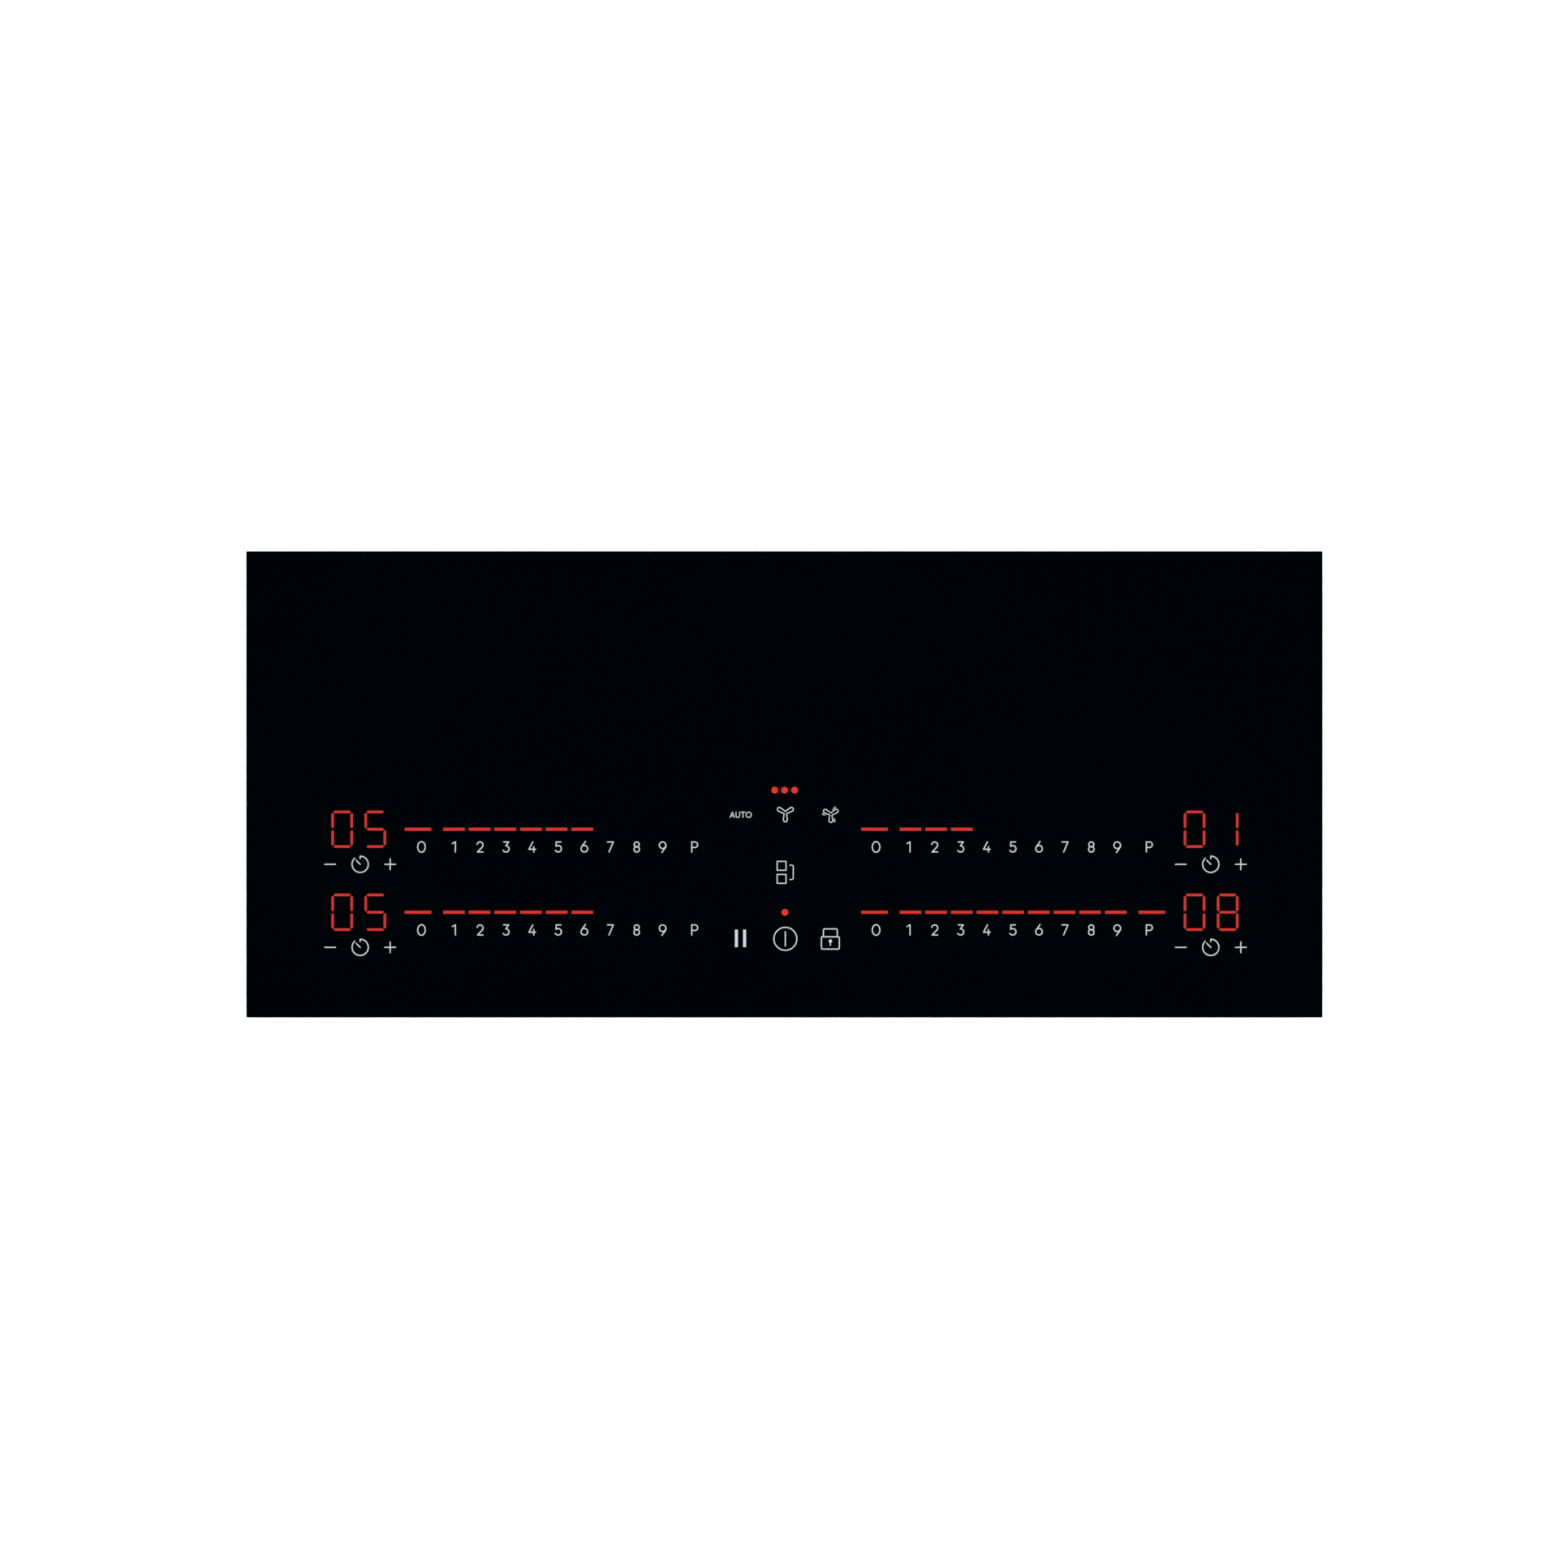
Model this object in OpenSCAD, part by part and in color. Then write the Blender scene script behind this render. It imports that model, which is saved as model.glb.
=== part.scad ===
// Built-in induction hob: a black glass top with four coils in a row behind a printed
// touch-control area, hung in a shallow steel tray. Millimetres. The origin is the centre
// of the footprint at the height of the feet, +Y to the rear and +Z up.

/* [Glass] */
// Width of the glass top, left to right
glass_w = 900; // [880:1:1200]
// Depth of the glass top, front to rear
glass_d = 390; // [385:1:500]
// Thickness of the glass
glass_t = 4; // [3:0.1:5]
// Radius of the glass corners
glass_corner = 1; // [0.5:0.5:4]
// Width of the ground edge of the glass
glass_bevel = 0.8; // [0.3:0.1:1.2]
// Height of the hob from its feet to the top of the glass
hob_h = 56; // [55:1:80]

/* [Fitting] */
// Overhang of the glass beyond the tray on every side
rim = 20; // [17:0.5:26]
// Thickness of the foam strip between the glass and the worktop
seal_t = 2; // [1.5:0.1:3]
// Width of the foam strip
seal_w = 8; // [5:0.5:10]
// Thickness of the worktop that the clamps grip
worktop_t = 38; // [20:0.5:39]
// Reach of a clamp arm from its screw
clamp_reach = 56; // [40:1:62]
// Radius of a clamp's screw
clamp_screw_r = 2.5; // [2:0.1:3]

/* [Tray] */
// Thickness of the tray's sheet steel
sheet = 1; // [0.7:0.1:1.3]
// Radius of a pressed foot
foot_r = 12; // [8:0.5:16]
// Height of a pressed foot below the tray floor
foot_h = 1.5; // [1:0.1:2]

/* [Coils] */
// Outer radius of a coil's former
coil_r = 82; // [68:1:84]
// Radius of the stranded wire in a coil
litz_r = 1.6; // [1.3:0.05:1.7]
// Number of turns in a coil's inner band
inner_turns = 7; // [4:1:7]
// Height of a ferrite bar
ferrite_h = 5; // [3:0.5:6]

/* [Blowers] */
// Radius of a blower's impeller
impeller_r = 35; // [27:0.5:36]
// Height of a blower's housing
blower_h = 24; // [22:0.5:26]
// Number of blades on an impeller
blade_count = 26; // [12:1:36]
// Radius of an impeller's shaft
shaft_r = 1.5; // [1.2:0.1:2]

/* [Controls] */
// Distance from the glass's front edge to the lower row of bars
row_front = 88; // [80:0.5:95]
// Distance between the two rows of controls
row_pitch = 69.4; // [66:0.1:72]
// Distance between two bars of a scale
bar_pitch = 21.46; // [20:0.01:22]
// Distance between two numbers of a scale
digit_pitch = 21.8; // [20:0.1:22.4]
// Height of a printed number
digit_h = 9.7; // [7:0.1:11]
// Width of a printed line
line_w = 1; // [0.8:0.05:1.6]
// Height of a lit seven-segment figure
figure_h = 31.2; // [24:0.1:32]
// Width of a lit seven-segment figure
figure_w = 18.2; // [14:0.1:20]

/* [Hidden] */
$fn = 48;
cut = 1;              // how far a cutting shape runs past the wall that it cuts

// heights, from the top down and from the feet up
glass_z = hob_h - glass_t;            // underside of the glass
seat_z = glass_z - seal_t;            // top of the worktop
floor_z = foot_h + sheet;             // top of the tray floor
adhesive_t = 0.8;
flange_t = 1;
tray_top = glass_z - adhesive_t - flange_t;
tray_w = glass_w - 2 * rim;
tray_d = glass_d - 2 * rim;
in_w = tray_w - 2 * sheet;            // clear width inside the tray
in_d = tray_d - 2 * sheet;

// glass frame and its screws
fit_gap = 0.2;                        // between the frame's leg and the tray wall
flange_w = 12;
leg_h = 20;
frame_screw_r = 1.95;
frame_screw_z = tray_top - 10.2;
screw_xs = [-300, -100, 100, 300];
screw_ys = [-80, 80];

// coils
coil_pitch = tray_w / 4;
coil_rear_gap = 13;
coil_y = tray_d / 2 - coil_rear_gap - coil_r;
mica_t = 0.4;
coil_gap = 0.3;                       // between a coil and the mica disc over it
plate_t = 1.6;                        // thickness of a former's plate
litz_pitch = litz_r * 1.75;
litz_z = glass_z - mica_t - coil_gap - litz_r;
former_z = litz_z - litz_r;           // top of a former's plate
plate_z = former_z - plate_t;
ferrite_z = plate_z - ferrite_h;
post_r = 2.5;
post_gap = 0.5;                       // round a former's post in the deck
post_inset = 3.4;
deck_t = 1.2;
deck_top = ferrite_z - 6.3;
deck_z = deck_top - deck_t;
deck_lip = 6;
deck_front = coil_y - coil_r - 8;
deck_rear = in_d / 2 - 4.5;
deck_x = in_w / 2 - 5;
hub_r = 20.4;
inner_first_r = hub_r + 0.4 + litz_r;
mid_ring_r = inner_first_r + (inner_turns - 1) * litz_pitch + litz_r + 0.8;
mid_ring_w = 4;
outer_first_r = mid_ring_r + mid_ring_w + 0.6 + litz_r;
rim_w = 2.2;
outer_turns = 1 + floor((coil_r - rim_w - 0.4 - litz_r - outer_first_r) / litz_pitch);
ferrite_from = 24;
ferrite_to = coil_r - 8;
spring_r = (ferrite_from + ferrite_to) / 2 + 5;

// mains terminal
box_w = 90;
box_d = 53;
box_h = 25.5;
box_wall = 1.6;
box_x = 100;
box_y = in_d / 2 - box_d;

// boards
board_t = 1.6;
board_lift = 4;
board_z = floor_z + board_lift;
board_top = board_z + board_t;
board_l = 265;
board_d = 200;
board_x = in_w / 2 - 14 - board_l;    // inner edge of the right-hand power board
board_y = box_y - 11 - board_d;        // front edge of a power board
sink_x = board_x + 10;
sink_l = 180;
sink_d = 60;
fin_h = 18;
filter_w = 90;
filter_d = 100;
filter_y = max(deck_front + 10, box_y - 96); // behind the deck's middle pillar, in reach of its wires

// blowers
blower_x = 95;
blower_size = 2 * impeller_r + 20;
blower_y = box_y - 11 - blower_size / 2;
sink_y = board_y + 125;
blower_wall = 1.5;
inlet_r = impeller_r - 5;
slot_w = 3.5;
slot_pitch = 7;
motor_r = 14;
cup_gap = 1.5;
cup_wall = 1.5;
shaft_gap = 0.05;

// control carrier
carrier_w = 790;
carrier_rear = deck_front - 4;
carrier_front = -glass_d / 2 + row_front - 45;
carrier_z = glass_z - 12;
carrier_wall = 1.5;
touch_z = carrier_z + 4.4;            // underside of the control boards
tab_w = 36;
tab_d = 16;
leg_xs = [-330, -200, 0, 200, 330];
leg_y = carrier_front + 7;
rear_leg_x = board_x - 5;
rear_leg_y = carrier_rear - 11;
spring_h = 10;
ribbon_x = board_x + 30;
ribbon_y = carrier_rear - 26;

// mains terminal's cover and cable bush
hinge_r = 1.5;
hinge_y = box_y + 6.5;
hinge_z = floor_z + 2.5;
cover_t = 1.8;
cover_z = foot_h + 0.1;
ear_t = 3;
ear_r = 3.1;
bush_z = 15.5;
bush_r = 8;
bush_bore = 5.5;
bush_flange = 10;

// clamps
arm_t = 2;
arm_w = 16;
lip_h = 4;
lip_z = seat_z - worktop_t;           // top of a clamp's lip, at the worktop's underside
arm_z = lip_z - lip_h - arm_t;
ledge_z = lip_z + 2;
recess_l = 80;
recess_d = 35;
clamp_x = tray_w / 2 - 15;
clamp_y = tray_d / 2 - 16;
clamp_gap = 0.08;                     // round the screw in a clamp's hole
clamp_play = 0.1;                     // between a clamp, its screw's head and its spacer

// film of print and light on top of the glass
film = 0.06;
bar_h = 2.8;
bar_l = 18.2;
end_bar_l = 22.4;
end_bar_step = 30.1;
end_digit_step = 27;
scale_x = [-276.3, 105.4];            // centre of each scale's first bar
digit_x = [-276.1, 104.0];
digit_drop = 14.7;
figure_x = [-355.8, 356.75];          // centre of each pair of figures
figure_step = 27.7;
segment_t = 2.4;
figure_drop = -0.1;
timer_x = [-354.7, 356.5];
timer_drop = 29.2;
timer_step = 25.1;
lit_counts = [[7, 7], [11, 4]];       // lit bars of the lower and upper row, left then right
shown = [["05", "05"], ["08", "01"]]; // lit figures of the lower and upper row, left then right
thin = 0.85;

function row_y(row) = -glass_d / 2 + row_front + row * row_pitch;
function coil_at(i) = [(i - 1.5) * coil_pitch, coil_y];
function bar_x(side, n) = scale_x[side] + (n == 0 ? -end_bar_step
    : n == 10 ? 8 * bar_pitch + end_bar_step : (n - 1) * bar_pitch);
function number_x(side, n) = digit_x[side] + (n == 0 ? -end_digit_step
    : n == 10 ? 8 * digit_pitch + end_digit_step : (n - 1) * digit_pitch);
function unit(v) = v / norm(v);
function turned(v) = [-v[1], v[0]];

// ---- shared shapes

module both_sides() {
    children();
    mirror([1, 0, 0]) children();
}

module four_corners() {
    both_sides() {
        children();
        mirror([0, 1, 0]) children();
    }
}

module block(x, y, z, l, d, h) {
    translate([x, y, z]) cube([l, d, h]);
}

module slab(w, d, z, h) {
    translate([-w / 2, -d / 2, z]) cube([w, d, h]);
}

module ring_slab(w, d, wall, z, h) {
    difference() {
        slab(w, d, z, h);
        slab(w - 2 * wall, d - 2 * wall, z - cut, h + 2 * cut);
    }
}

// a stroke of the print from one point to the next
module stroke(a, b, w = line_w) {
    along = unit(b - a);
    side = turned(along) * w / 2;
    linear_extrude(film) polygon([a + side, a - side, b - side, b + side]);
}

module arc(centre, r, from, to, w = line_w) {
    translate([centre[0], centre[1], 0])
        rotate([0, 0, from])
            rotate_extrude(angle = to - from)
                translate([r - w / 2, 0]) square([w, film]);
}

// an oval ring whose width stays near the stroke's
module oval(rx, ry, w = line_w) {
    linear_extrude(film)
        difference() {
            scale([rx + w / 2, ry + w / 2]) circle(1);
            scale([rx - w / 2, ry - w / 2]) circle(1);
        }
}

module loop(centre, r, w = line_w) {
    translate([centre[0], centre[1], 0])
        linear_extrude(film)
            difference() {
                circle(r + w / 2);
                circle(r - w / 2);
            }
}

module dot(centre, r) {
    translate([centre[0], centre[1], 0]) cylinder(h = film, r = r);
}

module on_glass(x, y) {
    translate([x, y, hob_h]) children();
}

// a strip of sheet bent along a list of points in the XZ plane, w wide in Y
function bend_side(p, t, s) = [for (i = [0:len(p) - 1])
    let (a = i == 0 ? unit(p[1] - p[0]) : unit(p[i] - p[i - 1]),
         b = i == len(p) - 1 ? a : unit(p[i + 1] - p[i]),
         m = unit(turned(a) + turned(b)))
    p[i] + s * t / 2 / (m * turned(a)) * m];

module bent_strip(points, t, w) {
    upper = bend_side(points, t, 1);
    lower = bend_side(points, t, -1);
    translate([0, w / 2, 0])
        rotate([90, 0, 0])
            linear_extrude(w)
                polygon(concat(upper, [for (i = [len(lower) - 1:-1:0]) lower[i]]));
}

// a round wire swept along a list of points, as one closed tube
function wire_ring(p, dir, r, sides) =
    let (d = unit(dir),
         u = unit(cross(d, [0.35, 0.2, 1])),
         v = cross(d, u))
    [for (k = [0:sides - 1]) p + r * (cos(360 * k / sides) * u + sin(360 * k / sides) * v)];

module wire(path, r, sides = 8) {
    last = len(path) - 1;
    rings = [for (i = [0:last])
        wire_ring(path[i],
            i == 0 ? path[1] - path[0]
            : i == last ? path[last] - path[last - 1]
            : unit(path[i] - path[i - 1]) + unit(path[i + 1] - path[i]), r, sides)];
    polyhedron(
        points = [for (ring = rings) for (p = ring) p],
        faces = concat(
            [[for (k = [0:sides - 1]) k]],
            [for (i = [0:last - 1]) for (k = [0:sides - 1])
                [(i + 1) * sides + k, (i + 1) * sides + (k + 1) % sides, i * sides + (k + 1) % sides,
                 i * sides + k]],
            [[for (k = [0:sides - 1]) last * sides + sides - 1 - k]]));
}

// ---- numbers and letters, drawn as plain strokes about their centre

module mark(points, k) {
    for (i = [1:len(points) - 1]) stroke(k * points[i - 1], k * points[i]);
}

module number(n) {
    k = digit_h / 9.7;
    if (n == 0) translate([-0.35, 0, 0]) oval(k * 3.15, k * 4.45);
    if (n == 1) mark([[-1.5, 2.9], [1, 4.3], [1, -4.85]], k);
    if (n == 2) {
        arc(k * [-0.1, 1.7], k * 2.5, -38, 170);
        mark([[1.87, 0.16], [-2.3, -4.2]], k);
        mark([[-2.9, -4.2], [2.9, -4.2]], k);
    }
    if (n == 3) {
        mark([[-2.7, 4.2], [2.5, 4.2]], k);
        mark([[2.1, 4.2], [-0.3, 0.9]], k);
        arc(k * [-0.2, -1.65], k * 2.6, -150, 92);
    }
    if (n == 4) {
        mark([[0.3, 4.8], [-2.9, -1.9]], k);
        mark([[-3.3, -1.9], [3.2, -1.9]], k);
        mark([[1.2, 0.6], [1.2, -4.85]], k);
    }
    if (n == 5) {
        mark([[-2.4, 4.2], [2.3, 4.2]], k);
        mark([[-1.9, 4.2], [-2.03, 0.57]], k);
        arc(k * [-0.3, -1.5], k * 2.7, -150, 130);
    }
    if (n == 6) lean_ring(k);
    if (n == 7) mark([[-2.8, 4.2], [2.9, 4.2]], k);
    if (n == 7) mark([[2.5, 4.2], [-1.3, -4.8]], k);
    if (n == 8) {
        loop(k * [0, 2.1], k * 2.1);
        loop(k * [0, -1.95], k * 2.3);
    }
    if (n == 9) rotate([0, 0, 180]) lean_ring(k);
    if (n == 10) translate([-0.7, 0, 0]) {
        mark([[-2.1, -4.85], [-2.1, 4.85]], k);
        for (y = [4.2, -0.4]) mark([[-2.1, y], [0.6, y]], k);
        arc(k * [0.6, 1.9], k * 2.3, -90, 90);
    }
}

module lean_ring(k) {
    loop(k * [0, -1.45], k * 2.75);
    mark([[-2.4, -0.1], [0.9, 4.6]], k);
}

module word_auto() {
    h = 4.4;
    w = 0.85;
    top = h / 2;
    step = 4.75;
    translate([-1.5 * step, 0]) {
        stroke([-1.75, -top - w / 2], [0, top + w / 4], w);
        stroke([1.75, -top - w / 2], [0, top + w / 4], w);
        stroke([-1.1, -0.9], [1.1, -0.9], w);
    }
    translate([-0.5 * step, 0]) {
        arc([0, -top + 1.5], 1.5, 180, 360, w);
        stroke([-1.5, -top + 1.5], [-1.5, top + w / 2], w);
        stroke([1.5, -top + 1.5], [1.5, top + w / 2], w);
    }
    translate([0.42 * step, 0]) {
        stroke([-1.9, top], [1.9, top], w);
        stroke([0, -top - w / 2], [0, top], w);
    }
    translate([1.44 * step, 0]) loop([0, 0], top, w);
}

// ---- printed keys

// one blade along +X: two sides that spread from the hub, and a round tip
module fan_sign(k, w) {
    for (a = [30, 150, 270])
        rotate([0, 0, a]) {
            arc(k * [5.9, 0], k * 1.7, -90, 90, w);
            for (s = [-1, 1]) stroke(k * [0.66, 1.1 * s], k * [5.9, 1.7 * s], w);
        }
}

module speed_marks(k) {
    for (a = [30, 150, 270])
        rotate([0, 0, a]) {
            stroke(k * [3.4, 2.9], k * [7.2, 2.9], 0.5);
            stroke(k * [4.7, 3.9], k * [7.2, 3.9], 0.5);
        }
}

module timer_sign() {
    r = 6.8;
    loop_from = 132;
    loop_to = 450;
    arc([0, 0], r, loop_from, loop_to);
    stroke([0, r + line_w / 2], [0, r - 2.6]);
    stroke([-3.7, 3.7], [0.3, -0.3]);
}

module timer_keys(x, y) {
    on_glass(x, y) {
        timer_sign();
        for (s = [-1, 1]) stroke([s * timer_step - 5.1, 0], [s * timer_step + 5.1, 0]);
        stroke([timer_step, -5.1], [timer_step, 5.1]);
    }
}

module square_sign(x, y, size) {
    a = size / 2 - thin / 2;
    for (s = [-1, 1]) {
        stroke([x - size / 2, y + s * a], [x + size / 2, y + s * a], thin);
        stroke([x + s * a, y - a], [x + s * a, y + a], thin);
    }
}

module bridge_sign() {
    for (s = [-1, 1]) square_sign(-2.7, s * 5.45, 8.3);
    r = 1.4;
    x = 7.1;
    y = 6;
    for (s = [0, 1])
        mirror([0, s, 0]) {
            stroke([x - r - 1.5, y], [x - r, y], thin);
            arc([x - r, y - r], r, 0, 90, thin);
        }
    stroke([x, r - y], [x, y - r], thin);
}

module power_sign() {
    loop([0, 0], 9.6);
    stroke([0, -6.4], [0, 6.4]);
}

module lock_sign() {
    half = 7.5;
    low = -8.6;
    high = 1.7;
    r = 1;
    shackle = 5.8;
    top = 8.4;
    for (s = [0, 1])
        mirror([s, 0, 0]) {
            stroke([half, low + r], [half, high - r]);
            arc([half - r, low + r], r, -90, 0);
            arc([half - r, high - r], r, 0, 90);
            stroke([shackle, high], [shackle, top - r]);
            arc([shackle - r, top - r], r, 0, 90);
        }
    stroke([-half + r, low], [half - r, low]);
    stroke([-half + r, high], [half - r, high]);
    stroke([-shackle + r, top], [shackle - r, top]);
    dot([0, -1.9], 1.5);
    stroke([0, -2], [0, -6], 1.2);
}

module pause_sign() {
    for (x = [-3.5, 3.35]) stroke([x, -7.35], [x, 7.35], 2.6);
}

// ---- lit figures

module segment(centre, upright) {
    t = segment_t;
    gap = 0.6;
    l = (upright ? (figure_h - t) / 2 : figure_w - t) - 2 * gap;
    translate([centre[0], centre[1], 0])
        rotate([0, 0, upright ? 90 : 0])
            linear_extrude(film)
                polygon([[-l / 2, 0], [t / 2 - l / 2, t / 2], [l / 2 - t / 2, t / 2], [l / 2, 0],
                    [l / 2 - t / 2, -t / 2], [t / 2 - l / 2, -t / 2]]);
}

// segments in the order top, upper right, lower right, bottom, lower left, upper left, middle
function lit_segments(c) = c == "0" ? [0, 1, 2, 3, 4, 5] : c == "1" ? [1, 2]
    : c == "5" ? [0, 2, 3, 5, 6] : [0, 1, 2, 3, 4, 5, 6];

module figure(c) {
    t = segment_t;
    x = (figure_w - t) / 2;
    y = (figure_h - t) / 2;
    places = [[0, y], [x, y / 2], [x, -y / 2], [0, -y], [-x, -y / 2], [-x, y / 2], [0, 0]];
    for (k = lit_segments(c)) segment(places[k], k % 3 != 0);
}

// ---- glass and what is printed or lit on it

module bevel_cut(l) {
    rotate([90, 0, 0])
        linear_extrude(l, center = true)
            polygon([[-glass_bevel, 0], [-glass_bevel, cut], [cut, cut], [cut, -glass_bevel],
                [0, -glass_bevel]]);
}

module glass_top() {
    r = glass_corner;
    color([0.01, 0.012, 0.016])
        difference() {
            translate([0, 0, glass_z])
                linear_extrude(glass_t)
                    union() {
                        square([glass_w, glass_d - 2 * r], center = true);
                        square([glass_w - 2 * r, glass_d], center = true);
                        for (x = [-1, 1]) for (y = [-1, 1])
                            translate([x * (glass_w / 2 - r), y * (glass_d / 2 - r)]) circle(r);
                    }
            for (s = [0, 1])
                mirror([s, 0, 0]) translate([glass_w / 2, 0, hob_h]) bevel_cut(glass_d + 2 * cut);
            for (s = [0, 1])
                mirror([0, s, 0])
                    translate([0, glass_d / 2, hob_h]) rotate([0, 0, 90]) bevel_cut(glass_w + 2 * cut);
        }
}

module printed_scales() {
    color([0.88, 0.88, 0.88])
        for (side = [0, 1]) for (row = [0, 1]) {
            for (n = [0:10])
                on_glass(number_x(side, n), row_y(row) - digit_drop) number(n);
        }
}

module scale_bar(side, row, n) {
    l = n % 10 == 0 ? end_bar_l : bar_l;
    on_glass(bar_x(side, n), row_y(row)) stroke([-l / 2, 0], [l / 2, 0], bar_h);
}

module lit_bars() {
    color([0.85, 0.16, 0.12])
        for (side = [0, 1]) for (row = [0, 1])
            for (n = [0:lit_counts[side][row] - 1]) scale_bar(side, row, n);
}

module lit_figures() {
    color([0.85, 0.16, 0.12])
        for (side = [0, 1]) for (row = [0, 1]) for (i = [0, 1])
            on_glass(figure_x[side] + (i - 0.5) * figure_step, row_y(row) - figure_drop)
                figure(shown[side][row][i]);
}

module lit_dots() {
    color([0.9, 0.16, 0.12]) {
        for (x = [-8.1, 0.15, 8.5]) on_glass(x, row_y(1) + 32.8) dot([0, 0], 2.9);
        on_glass(0.5, row_y(0)) dot([0, 0], 2.9);
    }
}

module printed_timer_keys() {
    color([0.88, 0.88, 0.88])
        for (side = [0, 1]) for (row = [0, 1])
            timer_keys(timer_x[side], row_y(row) - timer_drop);
}

module printed_centre_keys() {
    upper = row_y(1) + 12;
    lower = row_y(0) - 22.1;
    color([0.88, 0.88, 0.88]) {
        on_glass(-36.5, upper) word_auto();
        on_glass(0.8, upper + 1.8) fan_sign(1, 1);
        on_glass(38.8, upper + 0.6) fan_sign(0.9, 0.9);
        on_glass(38.8, upper + 0.6) speed_marks(0.9);
        on_glass(0.4, row_y(0) + 33.5) bridge_sign();
        on_glass(-36.65, lower + 0.4) pause_sign();
        on_glass(0.8, lower) power_sign();
        on_glass(38.5, lower) lock_sign();
    }
}

// ---- seal, frame and tray

module glass_adhesive() {
    color([0.12, 0.12, 0.13])
        ring_slab(tray_w, tray_d, flange_w - 4, glass_z - adhesive_t, adhesive_t);
}

module sealing_strip() {
    inset = 4;
    color([0.2, 0.2, 0.21])
        ring_slab(glass_w - 2 * inset, glass_d - 2 * inset, seal_w, seat_z, seal_t);
}

module wall_screw_places() {
    for (s = [0, 180]) rotate([0, 0, s])
        for (x = screw_xs) translate([x, -tray_d / 2, frame_screw_z]) rotate([-90, 0, 0]) children();
    for (s = [0, 180]) rotate([0, 0, s])
        for (y = screw_ys) translate([-tray_w / 2, y, frame_screw_z]) rotate([0, 90, 0]) children();
}

module glass_frame() {
    leg_w = in_w - 2 * fit_gap;
    leg_d = in_d - 2 * fit_gap;
    color([0.62, 0.63, 0.65])
        difference() {
            union() {
                ring_slab(tray_w + 3, tray_d + 3, flange_w, tray_top, flange_t);
                ring_slab(leg_w, leg_d, flange_t, tray_top - leg_h, leg_h);
            }
            wall_screw_places() translate([0, 0, sheet]) cylinder(h = 3, r = frame_screw_r + 0.05);
        }
}

module clamp_screw() {
    spacer_z = arm_z + arm_t + clamp_play;
    translate([clamp_x, clamp_y, 0]) {
        translate([0, 0, arm_z - clamp_play - 3]) cylinder(h = 3, r = 4.5, $fn = 6);
        translate([0, 0, arm_z - clamp_play]) cylinder(h = ledge_z + sheet + 3 - arm_z, r = clamp_screw_r);
        translate([0, 0, spacer_z]) cylinder(h = ledge_z - spacer_z, r = 4.5);
        translate([0, 0, ledge_z + sheet]) cylinder(h = 2.4, r = 4.6, $fn = 6);
    }
}

module screws() {
    color([0.7, 0.7, 0.72]) {
        wall_screw_places() {
            translate([0, 0, -2.4]) cylinder(h = 2.4, r = 4);
            cylinder(h = 4, r = frame_screw_r);
        }
        four_corners() clamp_screw();
    }
}

module recess_block(grow) {
    l = recess_l + grow;
    d = recess_d + grow;
    four_corners()
        block(tray_w / 2 - l, tray_d / 2 - d, -cut, l + cut, d + cut, ledge_z + grow + cut);
}

module foot_places() {
    for (x = [-1, 0, 1]) for (y = [-1, 1])
        translate([x * (tray_w / 2 - 130), y * (tray_d / 2 - (x == 0 ? 45 : 55)), 0]) children();
}

module intake_slots() {
    reach = inlet_r + 3;
    rows = floor((reach - 4) / slot_pitch);
    for (i = [-rows:rows]) {
        y = i * slot_pitch;
        half = sqrt(reach * reach - y * y);
        block(-half, y - slot_w / 2, -cut, 2 * half, slot_w, floor_z + 2 * cut);
    }
}

module bottom_tray() {
    color([0.66, 0.67, 0.68])
        difference() {
            union() {
                difference() {
                    slab(tray_w, tray_d, foot_h, tray_top - foot_h);
                    recess_block(0);
                    difference() {
                        slab(in_w, in_d, floor_z, tray_top);
                        recess_block(sheet);
                    }
                }
                foot_places() cylinder(h = foot_h, r = foot_r);
            }
            foot_places() translate([0, 0, sheet]) cylinder(h = floor_z, r = foot_r - sheet);
            both_sides() translate([blower_x, blower_y, 0]) intake_slots();
            both_sides()
                for (i = [-8:8])
                    block(tray_w / 2 - 2 * sheet, i * slot_pitch - slot_w / 2, 11,
                        3 * sheet, slot_w, 14);
            for (i = [-14:14])
                block(i * slot_pitch - slot_w / 2, -tray_d / 2 - sheet, 11, slot_w, 3 * sheet, 14);
            block(box_x - box_w / 2 + 5, hinge_y - 3.7, -cut, box_w - 10, 47.8, floor_z + 2 * cut);
            translate([box_x, tray_d / 2 + cut, bush_z])
                rotate([90, 0, 0]) cylinder(h = sheet + 2 * cut, r = bush_r + 0.1);
            wall_screw_places() translate([0, 0, -cut])
                cylinder(h = sheet + 2 * cut, r = frame_screw_r + 0.15);
            four_corners() translate([clamp_x, clamp_y, ledge_z - cut])
                cylinder(h = sheet + 2 * cut, r = clamp_screw_r + 0.1);
        }
}

// ---- coil deck, posts and springs

module pillar(x, y) {
    translate([x, y, floor_z]) cylinder(h = deck_z - floor_z, r = 3.5);
}

module board_stand_offs(x, y, l, d) {
    for (px = [x + 5, x + l - 5]) for (py = [y + 5, y + d - 5])
        translate([px, py, floor_z]) cylinder(h = board_lift, r = 3);
}

module stand_offs() {
    front = deck_front + 6;
    rear = deck_rear - 8;
    color([0.78, 0.7, 0.42]) {
        pillar(0, front);
        pillar(0, rear);
        both_sides() {
            pillar(board_x - 5, front);
            pillar(in_w / 2 - 9, front);
            pillar(coil_pitch, rear);
            pillar(tray_w / 2 - recess_l - 10, rear);
            board_stand_offs(board_x, board_y, board_l, board_d);
        }
        board_stand_offs(-filter_w / 2, filter_y, filter_w, filter_d);
    }
}

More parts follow.
